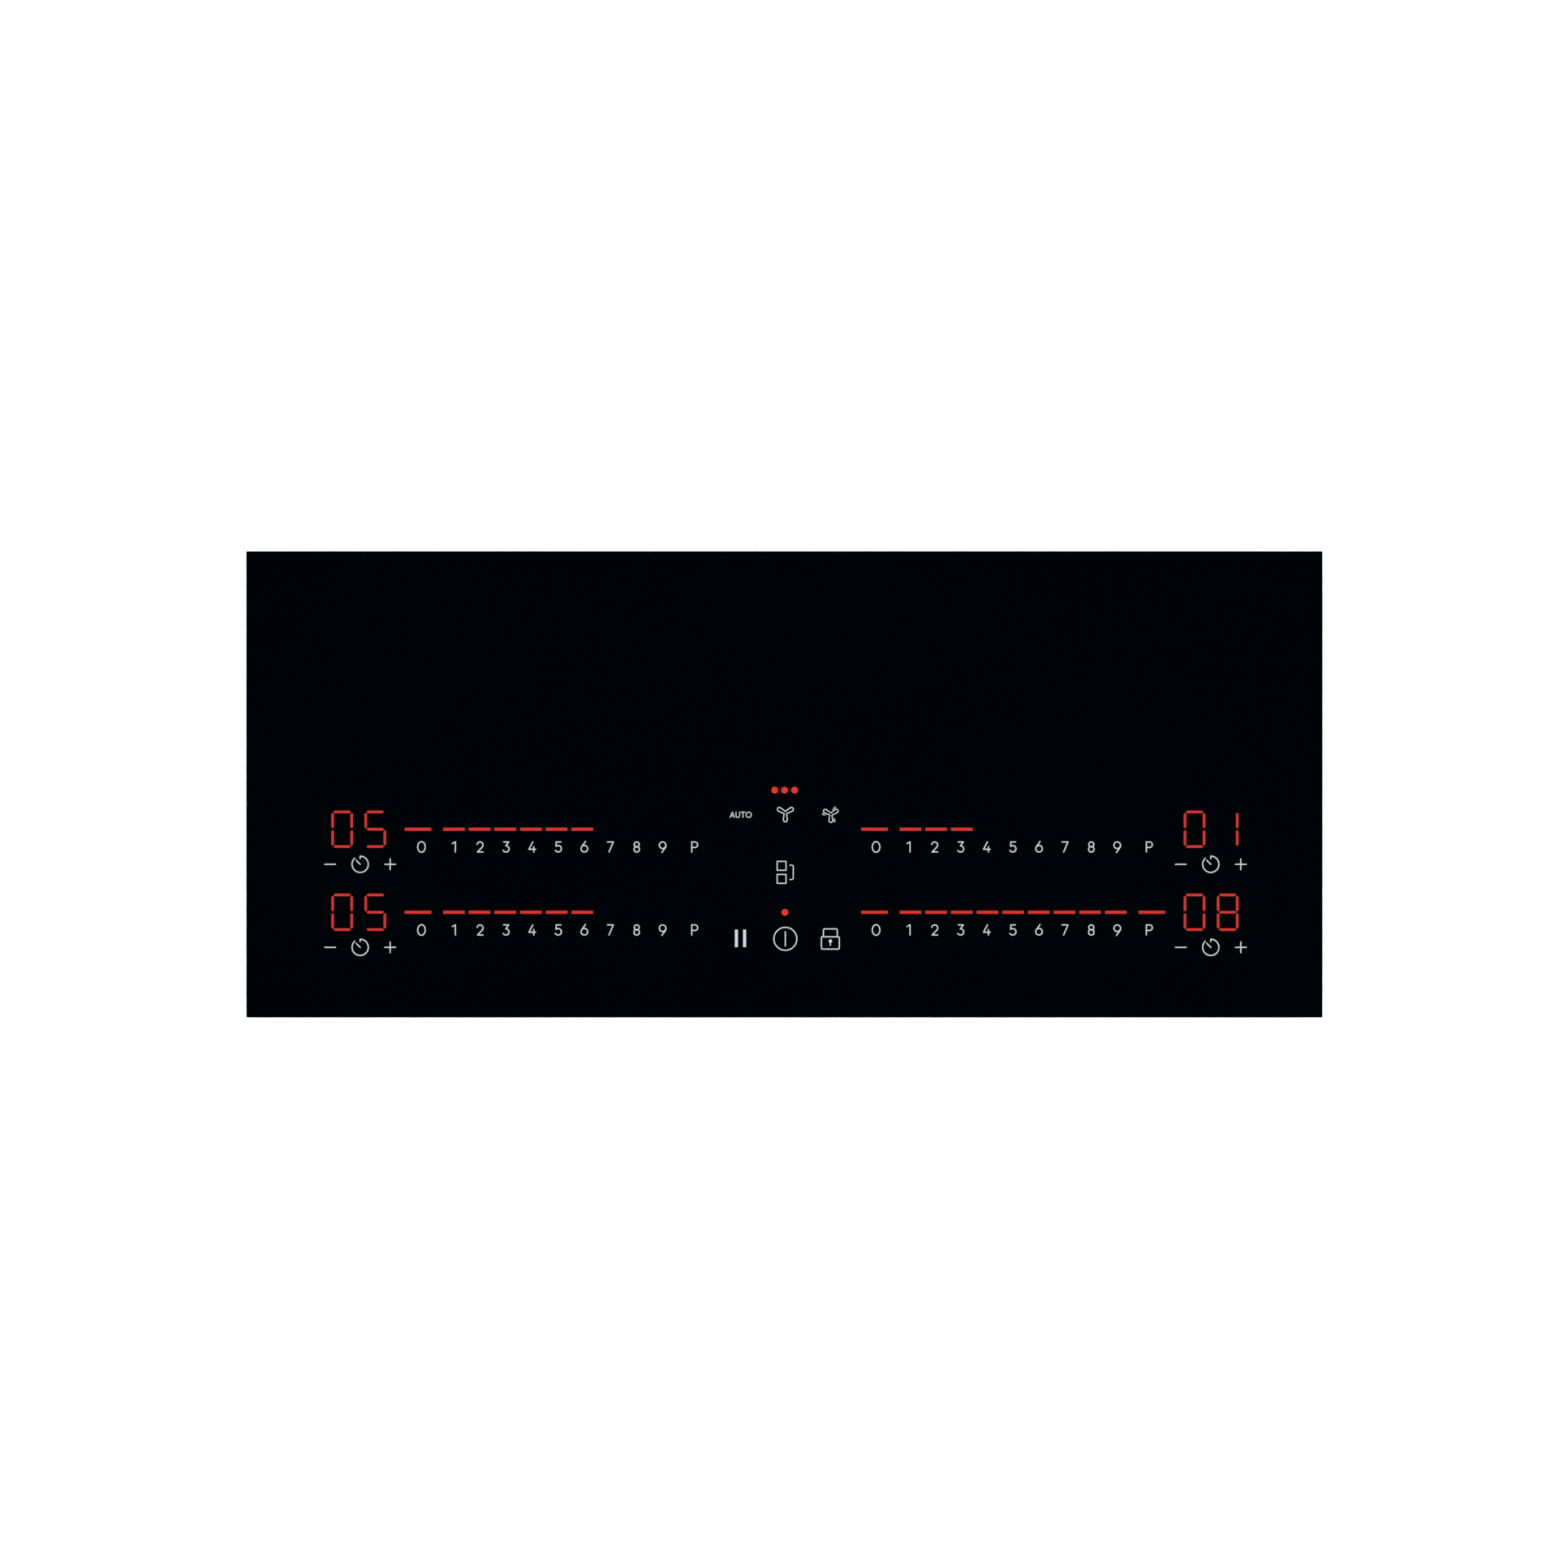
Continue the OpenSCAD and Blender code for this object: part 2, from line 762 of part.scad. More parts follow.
module post_places() {
    for (a = [90, 210, 330]) rotate([0, 0, a]) translate([coil_r - post_inset, 0, 0]) children();
}

module coil_deck() {
    d = deck_rear - deck_front;
    color([0.8, 0.81, 0.82])
        difference() {
            union() {
                block(-deck_x, deck_front, deck_z, 2 * deck_x, d, deck_t);
                for (y = [deck_front, deck_rear - deck_t])
                    block(-deck_x, y, deck_z - deck_lip, 2 * deck_x, deck_t, deck_lip);
            }
            for (i = [0:3]) translate(coil_at(i)) translate([0, 0, deck_z - cut]) {
                cylinder(h = deck_t + 2 * cut, r = 20);
                post_places() cylinder(h = deck_t + 2 * cut, r = post_r + post_gap);
            }
        }
}

function leaf(h, half, foot, t) = [
    [-half - foot, t / 2], [-half, t / 2], [-half * 0.35, h - t / 2],
    [half * 0.35, h - t / 2], [half, t / 2], [half + foot, t / 2]
];

module coil_springs() {
    t = 0.6;
    color([0.55, 0.57, 0.6])
        for (i = [0:3]) translate(coil_at(i))
            for (a = [22.5, 157.5, 292.5])
                rotate([0, 0, a]) translate([spring_r, 0, deck_top])
                    bent_strip(leaf(plate_z - deck_top, 13, 4, t), t, 8);
}

module mica_discs() {
    color([0.75, 0.7, 0.6])
        for (i = [0:3]) translate(coil_at(i)) translate([0, 0, glass_z - mica_t])
            cylinder(h = mica_t, r = coil_r + 1);
}

// ---- coils

module coil_former(i) {
    windows = 8;
    color([0.9, 0.88, 0.82])
        translate(coil_at(i)) {
            difference() {
                translate([0, 0, plate_z]) cylinder(h = plate_t, r = coil_r);
                translate([0, 0, plate_z - cut]) cylinder(h = plate_t + 2 * cut, r = 8);
                for (k = [0:windows - 1])
                    rotate([0, 0, (k + 0.5) * 360 / windows])
                        block(27, -5, plate_z - cut, 12, 10, plate_t + 2 * cut);
            }
            former_ring(coil_r - rim_w, rim_w);
            former_ring(mid_ring_r, mid_ring_w);
            former_ring(hub_r - 2, 2);
            post_places() translate([0, 0, deck_z - 3]) cylinder(h = plate_z - deck_z + 3, r = post_r);
        }
}

module former_ring(r, w) {
    root = 0.2;
    h = 2.4 + root;
    translate([0, 0, former_z - root])
        difference() {
            cylinder(h = h, r = r + w);
            translate([0, 0, -cut]) cylinder(h = h + 2 * cut, r = r);
        }
}

module litz_band(first_r, turns) {
    rotate_extrude()
        for (k = [0:turns - 1]) translate([first_r + k * litz_pitch, litz_z]) circle(litz_r);
}

module coil_winding(i) {
    color([0.72, 0.42, 0.2])
        translate(coil_at(i)) {
            litz_band(inner_first_r, inner_turns);
            litz_band(outer_first_r, outer_turns);
        }
}

module coil_ferrites(i) {
    w = 12;
    color([0.16, 0.16, 0.17])
        translate(coil_at(i))
            for (a = [0:45:315])
                rotate([0, 0, a])
                    block(ferrite_from, -w / 2, ferrite_z, ferrite_to - ferrite_from, w, ferrite_h);
}

module pan_sensor(i) {
    color([0.85, 0.85, 0.83])
        translate(coil_at(i))
            rotate_extrude()
                polygon([[0, plate_z - 2.5], [7.8, plate_z - 2.5], [7.8, former_z], [9.5, former_z],
                    [9.5, former_z + 0.9], [6, former_z + 0.9], [6, former_z + 2.8],
                    [0, former_z + 2.8]]);
}

// ---- power electronics

module power_board() {
    color([0.1, 0.36, 0.2]) block(board_x, board_y, board_z, board_l, board_d, board_t);
}

module heatsink() {
    base = 3;
    fins = 12;
    fin_t = 1.5;
    step = (sink_d - fin_t) / (fins - 1);
    color([0.75, 0.76, 0.78]) {
        block(sink_x, sink_y, board_top, sink_l, sink_d, base);
        for (i = [0:fins - 1])
            block(sink_x, sink_y + i * step, board_top + base, sink_l, fin_t, fin_h);
    }
}

module toroid(x, y, r, hole, h) {
    translate([x, y, board_top])
        difference() {
            cylinder(h = h, r = r);
            translate([0, 0, -cut]) cylinder(h = h + 2 * cut, r = hole);
        }
}

module power_parts() {
    x = board_x;
    y = board_y;
    color([0.2, 0.24, 0.5]) {
        for (i = [0:3]) block(x + 16 + i * 38, y + 84, board_top, 32, 16, 18);
        for (i = [0:1]) block(x + 12 + i * 56, y + 46, board_top, 42, 24, 18.5);
        for (i = [0:2]) translate([x + 134 + i * 24, y + 60, board_top]) cylinder(h = 18, r = 9);
        for (i = [0:2]) block(x + 205, y + 40 + i * 26, board_top, 22, 18, 15);
        toroid(x + 180, y + 22, 15, 7, 13);
        toroid(x + 222, y + 22, 15, 7, 13);
        for (i = [0:3]) block(x + 44 + i * 26, y + 12, board_top, 12, 12, 3);
        for (i = [0:2]) translate([x + 246, y + 56 + i * 34, board_top]) cylinder(h = 16, r = 8);
        block(x + 16, y + 12, board_top, 18, 12, 9);
        for (lead = [15, 35, 195, 215]) block(x + lead - 5, y + board_d - 12, board_top, 10, 10, 8);
        block(ribbon_x - 12, y + 28, board_top, 24, 7, 6);
    }
}

module filter_board() {
    color([0.1, 0.36, 0.2])
        block(-filter_w / 2, filter_y, board_z, filter_w, filter_d, board_t);
}

module filter_parts() {
    y = filter_y;
    color([0.85, 0.75, 0.2]) {
        toroid(-20, y + 35, 17, 8, 16);
        for (i = [0:1]) block(8, y + 13 + i * 26, board_top, 28, 16, 17);
        for (i = [0:2]) block(-38 + i * 26, y + 67, board_top, 20, 14, 14);
        for (i = [0:3]) block(-30 + i * 18, y + 87, board_top, 8, 8, 7);
        block(-40, y + 5, board_top, 24, 8, 8);
    }
}

module blower() {
    z = floor_z;
    half = blower_size / 2;
    color([0.13, 0.13, 0.14])
        translate([blower_x, blower_y, 0])
            difference() {
                block(-half, -half, z, blower_size, blower_size, blower_h);
                translate([0, 0, z + blower_wall])
                    cylinder(h = blower_h - 2 * blower_wall, r = half - 6);
                translate([0, 0, z - cut]) cylinder(h = blower_h / 2, r = inlet_r);
                block(0, -half + 10, z + blower_wall, half + cut, half + 8,
                    blower_h - 2 * blower_wall);
            }
}

module blower_motors() {
    top = floor_z + blower_h - blower_wall;
    color([0.3, 0.3, 0.32])
        both_sides()
            translate([blower_x, blower_y, 0]) {
                translate([0, 0, top - 15]) cylinder(h = 15, r = motor_r);
                translate([0, 0, floor_z + 3]) cylinder(h = top - 15 - floor_z - 3, r = shaft_r);
            }
}

module impeller() {
    base = floor_z + 2.5;
    high = floor_z + blower_h - blower_wall - 4;
    cup_r = motor_r + cup_gap;
    cup_floor = floor_z + 4.5;
    blade = 9;
    color([0.18, 0.18, 0.19])
        translate([blower_x, blower_y, 0]) {
            rotate_extrude()
                polygon([[shaft_r + shaft_gap, cup_floor], [cup_r + cup_wall, cup_floor],
                    [cup_r + cup_wall, high - 1.2], [impeller_r, high - 1.2], [impeller_r, high],
                    [cup_r, high], [cup_r, cup_floor + 1.2], [shaft_r + shaft_gap, cup_floor + 1.2]]);
            difference() {
                translate([0, 0, base]) cylinder(h = 1.2, r = impeller_r);
                translate([0, 0, base - cut]) cylinder(h = 1.2 + 2 * cut, r = impeller_r - 4);
            }
            for (k = [0:blade_count - 1])
                rotate([0, 0, k * 360 / blade_count])
                    translate([impeller_r - 0.5, 0, 0]) rotate([0, 0, 28])
                        block(-blade, -0.5, base + 0.6, blade, 1, high - base - 1.2);
        }
}

// ---- control unit

module carrier_outline(z, h, inset) {
    block(inset - carrier_w / 2, carrier_front + inset, z, carrier_w - 2 * inset,
        carrier_rear - carrier_front - 2 * inset, h);
    block(inset - tab_w / 2, carrier_rear - 10, z, tab_w - 2 * inset, 10 + tab_d - inset, h);
}

module control_carrier() {
    h = glass_z - 0.5 - carrier_z;
    color([0.82, 0.82, 0.8]) {
        difference() {
            carrier_outline(carrier_z, h, 0);
            carrier_outline(carrier_z + carrier_wall, h, carrier_wall);
            both_sides() block(ribbon_x - 13, ribbon_y - 3, carrier_z - cut, 26, 8, 2 * cut + carrier_wall);
        }
        for (x = board_posts) for (y = [carrier_front + 12, carrier_rear - 12])
            translate([x, y, carrier_z]) cylinder(h = touch_z - carrier_z, r = 3);
        for (x = leg_xs) carrier_leg(x, leg_y);
        for (s = [-1, 1]) carrier_leg(s * rear_leg_x, rear_leg_y);
    }
}

module carrier_leg(x, y) {
    foot = floor_z + spring_h;
    block(x - 4, y - 4, foot, 8, 8, carrier_z - foot);
}

board_ends = [[-385, -57], [-53, 53], [57, 385]];
board_posts = [-375, -221, -67, -43, 43, 67, 221, 375];

module control_boards() {
    gap = 0.5;
    front = carrier_front + carrier_wall + gap;
    rear = carrier_rear - carrier_wall - gap;
    color([0.1, 0.36, 0.2]) {
        for (e = board_ends) block(e[0], front, touch_z, e[1] - e[0], rear - front, board_t);
        block(3 - tab_w / 2, rear - 2, touch_z, tab_w - 6, tab_d, board_t);
    }
}

module light_boxes() {
    z = touch_z + board_t;
    h = glass_z - 0.3 - z;
    pair_w = figure_step + figure_w + 4;
    color([0.09, 0.09, 0.1]) {
        for (side = [0, 1]) for (row = [0, 1]) {
            block(figure_x[side] - pair_w / 2, row_y(row) - figure_drop - figure_h / 2 - 1, z,
                pair_w, figure_h + 2, h);
            block(bar_x(side, 0) - end_bar_l / 2 - 1, row_y(row) - 4, z,
                bar_x(side, 10) - bar_x(side, 0) + end_bar_l + 2, 8, h);
        }
        block(-13, row_y(1) + 28.8, z, 26, 8, h);
        block(-4, row_y(0) - 4, z, 8, 8, h);
    }
}

module touch_pad(x, y) {
    z = touch_z + board_t;
    translate([x, y, z]) cylinder(h = glass_z - z, r = 4.5);
}

module touch_pads() {
    color([0.35, 0.35, 0.36]) {
        for (side = [0, 1]) for (row = [0, 1]) {
            for (s = [-1, 0, 1])
                touch_pad(timer_x[side] + s * timer_step, row_y(row) - timer_drop);
            for (n = [0:10]) touch_pad(number_x(side, n), row_y(row) - digit_drop);
        }
        for (x = [-36.5, 0.8, 38.4]) {
            touch_pad(x, row_y(1) + 12);
            touch_pad(x, row_y(0) - 22.1);
        }
        touch_pad(0.4, row_y(0) + 33.5);
    }
}

module carrier_springs() {
    t = 0.6;
    color([0.55, 0.57, 0.6]) {
        for (x = leg_xs) translate([x, leg_y, floor_z])
            bent_strip(leaf(spring_h, 12, 4, t), t, 8);
        for (s = [-1, 1]) translate([s * rear_leg_x, rear_leg_y, floor_z]) rotate([0, 0, 90])
            bent_strip(leaf(spring_h, 12, 4, t), t, 8);
    }
}

module ribbon_cables() {
    t = 0.8;
    low = board_top + 6;
    end_y = board_y + 31.5;
    run = ribbon_y + 1 - end_y;
    color([0.75, 0.75, 0.77])
        both_sides()
            translate([ribbon_x, end_y, 0]) rotate([0, 0, 90])
                bent_strip([[0, low], [0, low + 13.5], [1.5, low + 15], [run - 1.5, low + 17],
                    [run, low + 19], [run, touch_z]], t, 20);
}

// ---- wiring

lead_r = 1.5;
mains_r = 1.2;

// from a coil's centre, under the deck and out to its terminal on the power board; s is
// the way it turns, 1 to the right and -1 to the left
function lead_path(cx, dx, tx, ahead, s) =
    let (x = cx + dx, ty = board_y + board_d - 7, z = deck_z - 2.7)
    [[x, coil_y, plate_z], [x, coil_y, deck_top + 3], [x, coil_y, deck_z - 0.5],
     [x + 3 * s, coil_y + ahead, z], [tx - 15 * s, ty - 11 + ahead, z],
     [tx, ty - 2, z], [tx, ty, z - 3.3], [tx, ty, board_top + 8]];

// from the terminal block over to the filter board, each wire at its own height
function mains_path(n) =
    let (x = box_x - 12 + 12 * n, y = box_y - 3 - 2.8 * n, z = 24.4 - 3.2 * n,
         end = 18 * n - 26, end_y = filter_y + 91)
    [[x, box_y + 22, 17], [x, box_y + 3, 17], [x, y + 1, 18], [x - 4, y, z],
     [end + 6, y, z], [end, end_y, z - 1], [end, end_y, board_top + 7]];

module wiring() {
    color([0.78, 0.25, 0.16]) {
        both_sides()
            for (n = [0, 1]) {
                cx = (n + 0.5) * coil_pitch;
                tx = board_x + 15 + n * 180;
                s = tx + 10 > cx ? 1 : -1;
                wire(lead_path(cx, -12, tx, 5 + 4 * s, s), lead_r);
                wire(lead_path(cx, 12, tx + 20, 5 - 4 * s, s), lead_r);
            }
        for (n = [0:2]) wire(mains_path(n), mains_r);
    }
}

// ---- mains terminal and its cover

module terminal_box() {
    l = box_w;
    color([0.9, 0.9, 0.88]) {
        difference() {
            block(box_x - l / 2, box_y, floor_z, l, box_d, box_h);
            block(box_x - l / 2 + box_wall, box_y + box_wall, floor_z - cut, l - 2 * box_wall,
                box_d - 2 * box_wall, box_h - box_wall + cut);
            translate([box_x, tray_d / 2, bush_z])
                rotate([90, 0, 0]) cylinder(h = 6, r = bush_r + 0.1);
            block(box_x - 24, box_y - cut, 14.5, 46, box_wall + 2 * cut, 5);
        }
        for (s = [0, 1])
            translate([box_x, 0, 0]) mirror([s, 0, 0])
                translate([l / 2 - box_wall - 5, hinge_y, hinge_z])
                    rotate([0, 90, 0]) cylinder(h = 5.5, r = hinge_r);
    }
}

module terminal_block() {
    ways = 5;
    step = 12;
    top = floor_z + box_h - box_wall;
    color([0.93, 0.93, 0.9]) {
        block(box_x - ways * step / 2, box_y + 22, top - 13, ways * step, 16, 13);
        for (i = [0:ways - 1])
            translate([box_x + (i - (ways - 1) / 2) * step, box_y + 30, top - 14])
                cylinder(h = 1, r = 2.6);
    }
}

module terminal_cover() {
    w = box_w - 2 * box_wall - 2;
    plate_w = w - 6;
    front = hinge_y - 1;
    color([0.88, 0.88, 0.86])
        difference() {
            union() {
                block(box_x - plate_w / 2, front, cover_z, plate_w, 45.1, cover_t);
                for (s = [-1, 1]) translate([box_x + s * (plate_w - ear_t) / 2, hinge_y, 0]) {
                    translate([-ear_t / 2, 0, hinge_z]) rotate([0, 90, 0]) cylinder(h = ear_t, r = ear_r);
                    block(-ear_t / 2, -1, cover_z, ear_t, 2.4, hinge_z - cover_z);
                }
            }
            translate([box_x - box_w, hinge_y, hinge_z])
                rotate([0, 90, 0]) cylinder(h = 2 * box_w, r = hinge_r + 0.05);
        }
}

module cable_bush() {
    walls = box_wall + sheet;
    color([0.08, 0.08, 0.08])
        translate([box_x, tray_d / 2 + 2.5, bush_z])
            rotate([90, 0, 0])
                difference() {
                    union() {
                        cylinder(h = 2.5, r = bush_flange);
                        cylinder(h = walls + 4.5, r = bush_r);
                        translate([0, 0, walls + 2.5]) cylinder(h = 2, r = bush_flange);
                    }
                    translate([0, 0, -cut]) cylinder(h = walls + 4.5 + 2 * cut, r = bush_bore);
                }
}

// ---- clamps

module clamp(sx, sy) {
    color([0.72, 0.73, 0.75])
        mirror([sx < 0 ? 1 : 0, 0, 0]) mirror([0, sy < 0 ? 1 : 0, 0])
            translate([clamp_x, clamp_y, arm_z])
                difference() {
                    union() {
                        cylinder(h = arm_t, r = arm_w / 2);
                        block(-clamp_reach, -arm_w / 2, 0, clamp_reach, arm_w, arm_t);
                        block(-clamp_reach, -arm_w / 2, 0, arm_t, arm_w, arm_t + lip_h);
                    }
                    translate([0, 0, -cut])
                        cylinder(h = arm_t + 2 * cut, r = clamp_screw_r + clamp_gap);
                }
}

glass_top();
printed_scales();
printed_timer_keys();
printed_centre_keys();
lit_figures();
lit_bars();
lit_dots();
glass_adhesive();
sealing_strip();
glass_frame();
bottom_tray();
screws();
stand_offs();
coil_deck();
coil_springs();
mica_discs();
for (i = [0:3]) coil_former(i);
for (i = [0:3]) coil_winding(i);
for (i = [0:3]) coil_ferrites(i);
for (i = [0:3]) pan_sensor(i);
mirror([1, 0, 0]) power_board();  // power_board_left
power_board();  // power_board_right
mirror([1, 0, 0]) power_parts();  // power_parts_left
power_parts();  // power_parts_right
mirror([1, 0, 0]) heatsink();  // heatsink_left
heatsink();  // heatsink_right
filter_board();
filter_parts();
mirror([1, 0, 0]) blower();  // blower_left
blower();  // blower_right
mirror([1, 0, 0]) impeller();  // impeller_left
impeller();  // impeller_right
blower_motors();
control_carrier();
control_boards();
light_boxes();
touch_pads();
carrier_springs();
ribbon_cables();
wiring();
terminal_box();
terminal_block();
terminal_cover();
cable_bush();
clamp(-1, -1);  // clamp_front_left
clamp(1, -1);  // clamp_front_right
clamp(-1, 1);  // clamp_rear_left
clamp(1, 1);  // clamp_rear_right
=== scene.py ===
# %% [markdown]
# # A built-in induction hob
#
# The object is a drop-in hob: one sheet of black glass-ceramic over a shallow steel tray.
# Print and light sit on the glass, coils and electronics hang under it, and clamps hold it
# in a worktop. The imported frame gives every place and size. This script makes the looks:
# it rebuilds what needs a finer shape, and it gives each finish its own material.

# %% Load the frame
import math

import bmesh
import bpy
from mathutils import Matrix, Vector
from mathutils.geometry import delaunay_2d_cdt


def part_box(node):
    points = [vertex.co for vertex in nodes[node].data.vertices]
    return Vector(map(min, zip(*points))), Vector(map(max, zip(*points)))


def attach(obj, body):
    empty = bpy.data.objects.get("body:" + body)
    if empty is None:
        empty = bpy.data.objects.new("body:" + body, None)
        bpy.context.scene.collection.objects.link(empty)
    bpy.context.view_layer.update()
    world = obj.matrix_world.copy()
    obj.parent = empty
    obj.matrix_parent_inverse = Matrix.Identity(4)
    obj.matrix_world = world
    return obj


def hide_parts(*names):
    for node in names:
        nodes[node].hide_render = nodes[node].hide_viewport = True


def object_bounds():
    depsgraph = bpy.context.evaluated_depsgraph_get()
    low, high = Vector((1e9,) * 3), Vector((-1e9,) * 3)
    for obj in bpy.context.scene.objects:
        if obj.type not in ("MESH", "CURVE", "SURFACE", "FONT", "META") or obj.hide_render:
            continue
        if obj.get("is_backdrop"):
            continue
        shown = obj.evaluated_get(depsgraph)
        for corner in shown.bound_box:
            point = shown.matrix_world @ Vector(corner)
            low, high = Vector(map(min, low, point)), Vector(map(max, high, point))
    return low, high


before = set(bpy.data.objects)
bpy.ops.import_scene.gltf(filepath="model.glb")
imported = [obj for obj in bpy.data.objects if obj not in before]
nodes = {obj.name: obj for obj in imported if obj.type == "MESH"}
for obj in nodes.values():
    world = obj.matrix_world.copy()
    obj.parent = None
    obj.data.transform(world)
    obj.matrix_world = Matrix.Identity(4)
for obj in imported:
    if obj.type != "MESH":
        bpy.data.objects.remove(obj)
cad_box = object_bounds()
MM = 0.001

# %% [markdown]
# ## Measures
#
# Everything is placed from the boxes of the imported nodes, so a change in the frame moves the
# looks with it. The glass's box is the most useful: the print lies on its top face, and the
# rows of the controls are counted from its front edge.

# %% Measures taken from the frame
glass_low, glass_high = (Vector(corner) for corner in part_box("glass_top"))
tray_high = Vector(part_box("bottom_tray")[1])
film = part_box("printed_scales")[1][2] - glass_high.z
row_front = 88 * MM
row_pitch = 69.4 * MM
rows = [glass_low.y + row_front + row * row_pitch for row in (0, 1)]
print("glass %.0f x %.0f mm" % tuple((glass_high - glass_low).xy / MM))


# %% [markdown]
# ## Shared helpers
#
# A finished piece keeps its place in its mesh and its object stays at the origin, as the
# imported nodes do. So each helper makes the mesh where it belongs and only then an object.

# %% Objects and smooth shading
def place(name, mesh, body="hob"):
    piece = bpy.data.objects.new(name, mesh)
    bpy.context.collection.objects.link(piece)
    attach(piece, body)
    return piece


def mesh_of(name, points, faces):
    mesh = bpy.data.meshes.new(name)
    mesh.from_pydata(points, [], faces)
    mesh.validate()
    return mesh


def smooth_curves(mesh, degrees=35):
    mesh.shade_smooth()
    mesh.set_sharp_from_angle(angle=math.radians(degrees))


# %% [markdown]
# ## Node groups that several finishes share
#
# Real surfaces are never one flat value. Small groups give the variation: a fine grain for
# moulded, cast and coated parts, long drawn lines for rolled and extruded metal, the crystal
# pattern of hot-dip zinc, the tracks of a circuit board, and the slanted strands of a
# twisted wire, which a finish also uses for painted shade in the grooves between strands.
# Each puts out a mask from 0 to 1 that a finish can spread over its own colours and roughness.

# %% Helpers for any tree of nodes
def add(tree, kind, joins=None, **values):
    """One node: joins are {input: output socket}, values are {input: constant}."""
    made = tree.nodes.new(kind if kind.startswith(("Shader", "Function")) else "GeometryNode" + kind)
    for label, value in values.items():
        made.inputs[label.replace("_", " ")].default_value = value
    for label, source in (joins or {}).items():
        tree.links.new(source, made.inputs[label])
    return made


def reckon(tree, operation, *values):
    """A sum of numbers and other nodes' outputs; gives its output."""
    made = tree.nodes.new("ShaderNodeMath")
    made.operation = operation
    for socket, value in zip(made.inputs, values):
        if isinstance(value, (int, float)):
            socket.default_value = value
        else:
            tree.links.new(value, socket)
    return made.outputs[0]


# %% Groups for grain, drawn lines, zinc crystals, board tracks and wire strands
def shader_group(name, inputs):
    group = bpy.data.node_groups.new(name, "ShaderNodeTree")
    group.interface.new_socket("Vector", in_out="INPUT", socket_type="NodeSocketVector")
    for label, value in inputs.items():
        socket = group.interface.new_socket(label, in_out="INPUT", socket_type="NodeSocketFloat")
        socket.default_value = value
    for label in ("Mask", "Height"):
        group.interface.new_socket(label, in_out="OUTPUT", socket_type="NodeSocketFloat")
    return group, group.nodes.new("NodeGroupInput"), group.nodes.new("NodeGroupOutput")


def put_out(group, end, mask, height):
    group.links.new(mask, end.inputs["Mask"])
    group.links.new(height, end.inputs["Height"])
    return group


def fine_grain():
    group, start, end = shader_group("Fine grain", {"Scale": 900.0, "Blotch scale": 30.0})
    where = start.outputs["Vector"]
    grain = add(group, "ShaderNodeTexNoise", {"Vector": where, "Scale": start.outputs["Scale"]},
                Detail=4.0)
    blotch = add(group, "ShaderNodeTexNoise", {"Vector": where, "Scale": start.outputs["Blotch scale"]},
                 Detail=2.0)
    half = reckon(group, "MULTIPLY", blotch.outputs["Fac"], 0.55)
    mix = reckon(group, "MULTIPLY_ADD", grain.outputs["Fac"], 0.45, half)
    return put_out(group, end, mix, grain.outputs["Fac"])


def drawn_lines():
    group, start, end = shader_group("Drawn lines", {"Scale": 60.0, "Stretch": 40.0})
    stretch = start.outputs["Stretch"]
    shape = add(group, "ShaderNodeCombineXYZ", {"Y": stretch, "Z": stretch}, X=1.0)
    squeeze = group.nodes.new("ShaderNodeVectorMath")
    squeeze.operation = "MULTIPLY"
    group.links.new(start.outputs["Vector"], squeeze.inputs[0])
    group.links.new(shape.outputs[0], squeeze.inputs[1])
    lines = add(group, "ShaderNodeTexNoise",
                {"Vector": squeeze.outputs[0], "Scale": start.outputs["Scale"]},
                Detail=6.0, Roughness=0.7)
    return put_out(group, end, lines.outputs["Fac"], lines.outputs["Fac"])


def zinc_crystals():
    group, start, end = shader_group("Zinc crystals", {"Scale": 70.0, "Grit": 1200.0})
    where = start.outputs["Vector"]
    bend = add(group, "ShaderNodeTexNoise", {"Vector": where}, Scale=40.0)
    shift = group.nodes.new("ShaderNodeVectorMath")
    shift.operation = "MULTIPLY_ADD"
    shift.inputs[1].default_value = (0.02, 0.02, 0.02)
    group.links.new(bend.outputs["Color"], shift.inputs[0])
    group.links.new(where, shift.inputs[2])
    crystals = add(group, "ShaderNodeTexVoronoi",
                   {"Vector": shift.outputs[0], "Scale": start.outputs["Scale"]})
    tone = add(group, "ShaderNodeSeparateColor", {"Color": crystals.outputs["Color"]})
    grit = add(group, "ShaderNodeTexNoise", {"Vector": where, "Scale": start.outputs["Grit"]})
    return put_out(group, end, tone.outputs[0], grit.outputs["Fac"])


def board_tracks():
    """Copper tracks under a solder mask: thin lines of a brick pattern, and round pads."""
    group, start, end = shader_group("Board tracks", {"Scale": 90.0, "Pad scale": 260.0})
    where = start.outputs["Vector"]
    bricks = add(group, "ShaderNodeTexBrick", {"Vector": where, "Scale": start.outputs["Scale"]},
                 Mortar_Size=0.016, Mortar_Smooth=0.2, Brick_Width=2.6, Row_Height=0.1)
    bricks.offset = 0.37
    bricks.squash = 0.45
    bricks.squash_frequency = 5
    pads = add(group, "ShaderNodeTexVoronoi", {"Vector": where, "Scale": start.outputs["Pad scale"]},
               Randomness=0.6)
    near = reckon(group, "LESS_THAN", pads.outputs["Distance"], 0.16)
    both = reckon(group, "MAXIMUM", bricks.outputs["Fac"], near)
    return put_out(group, end, both, both)


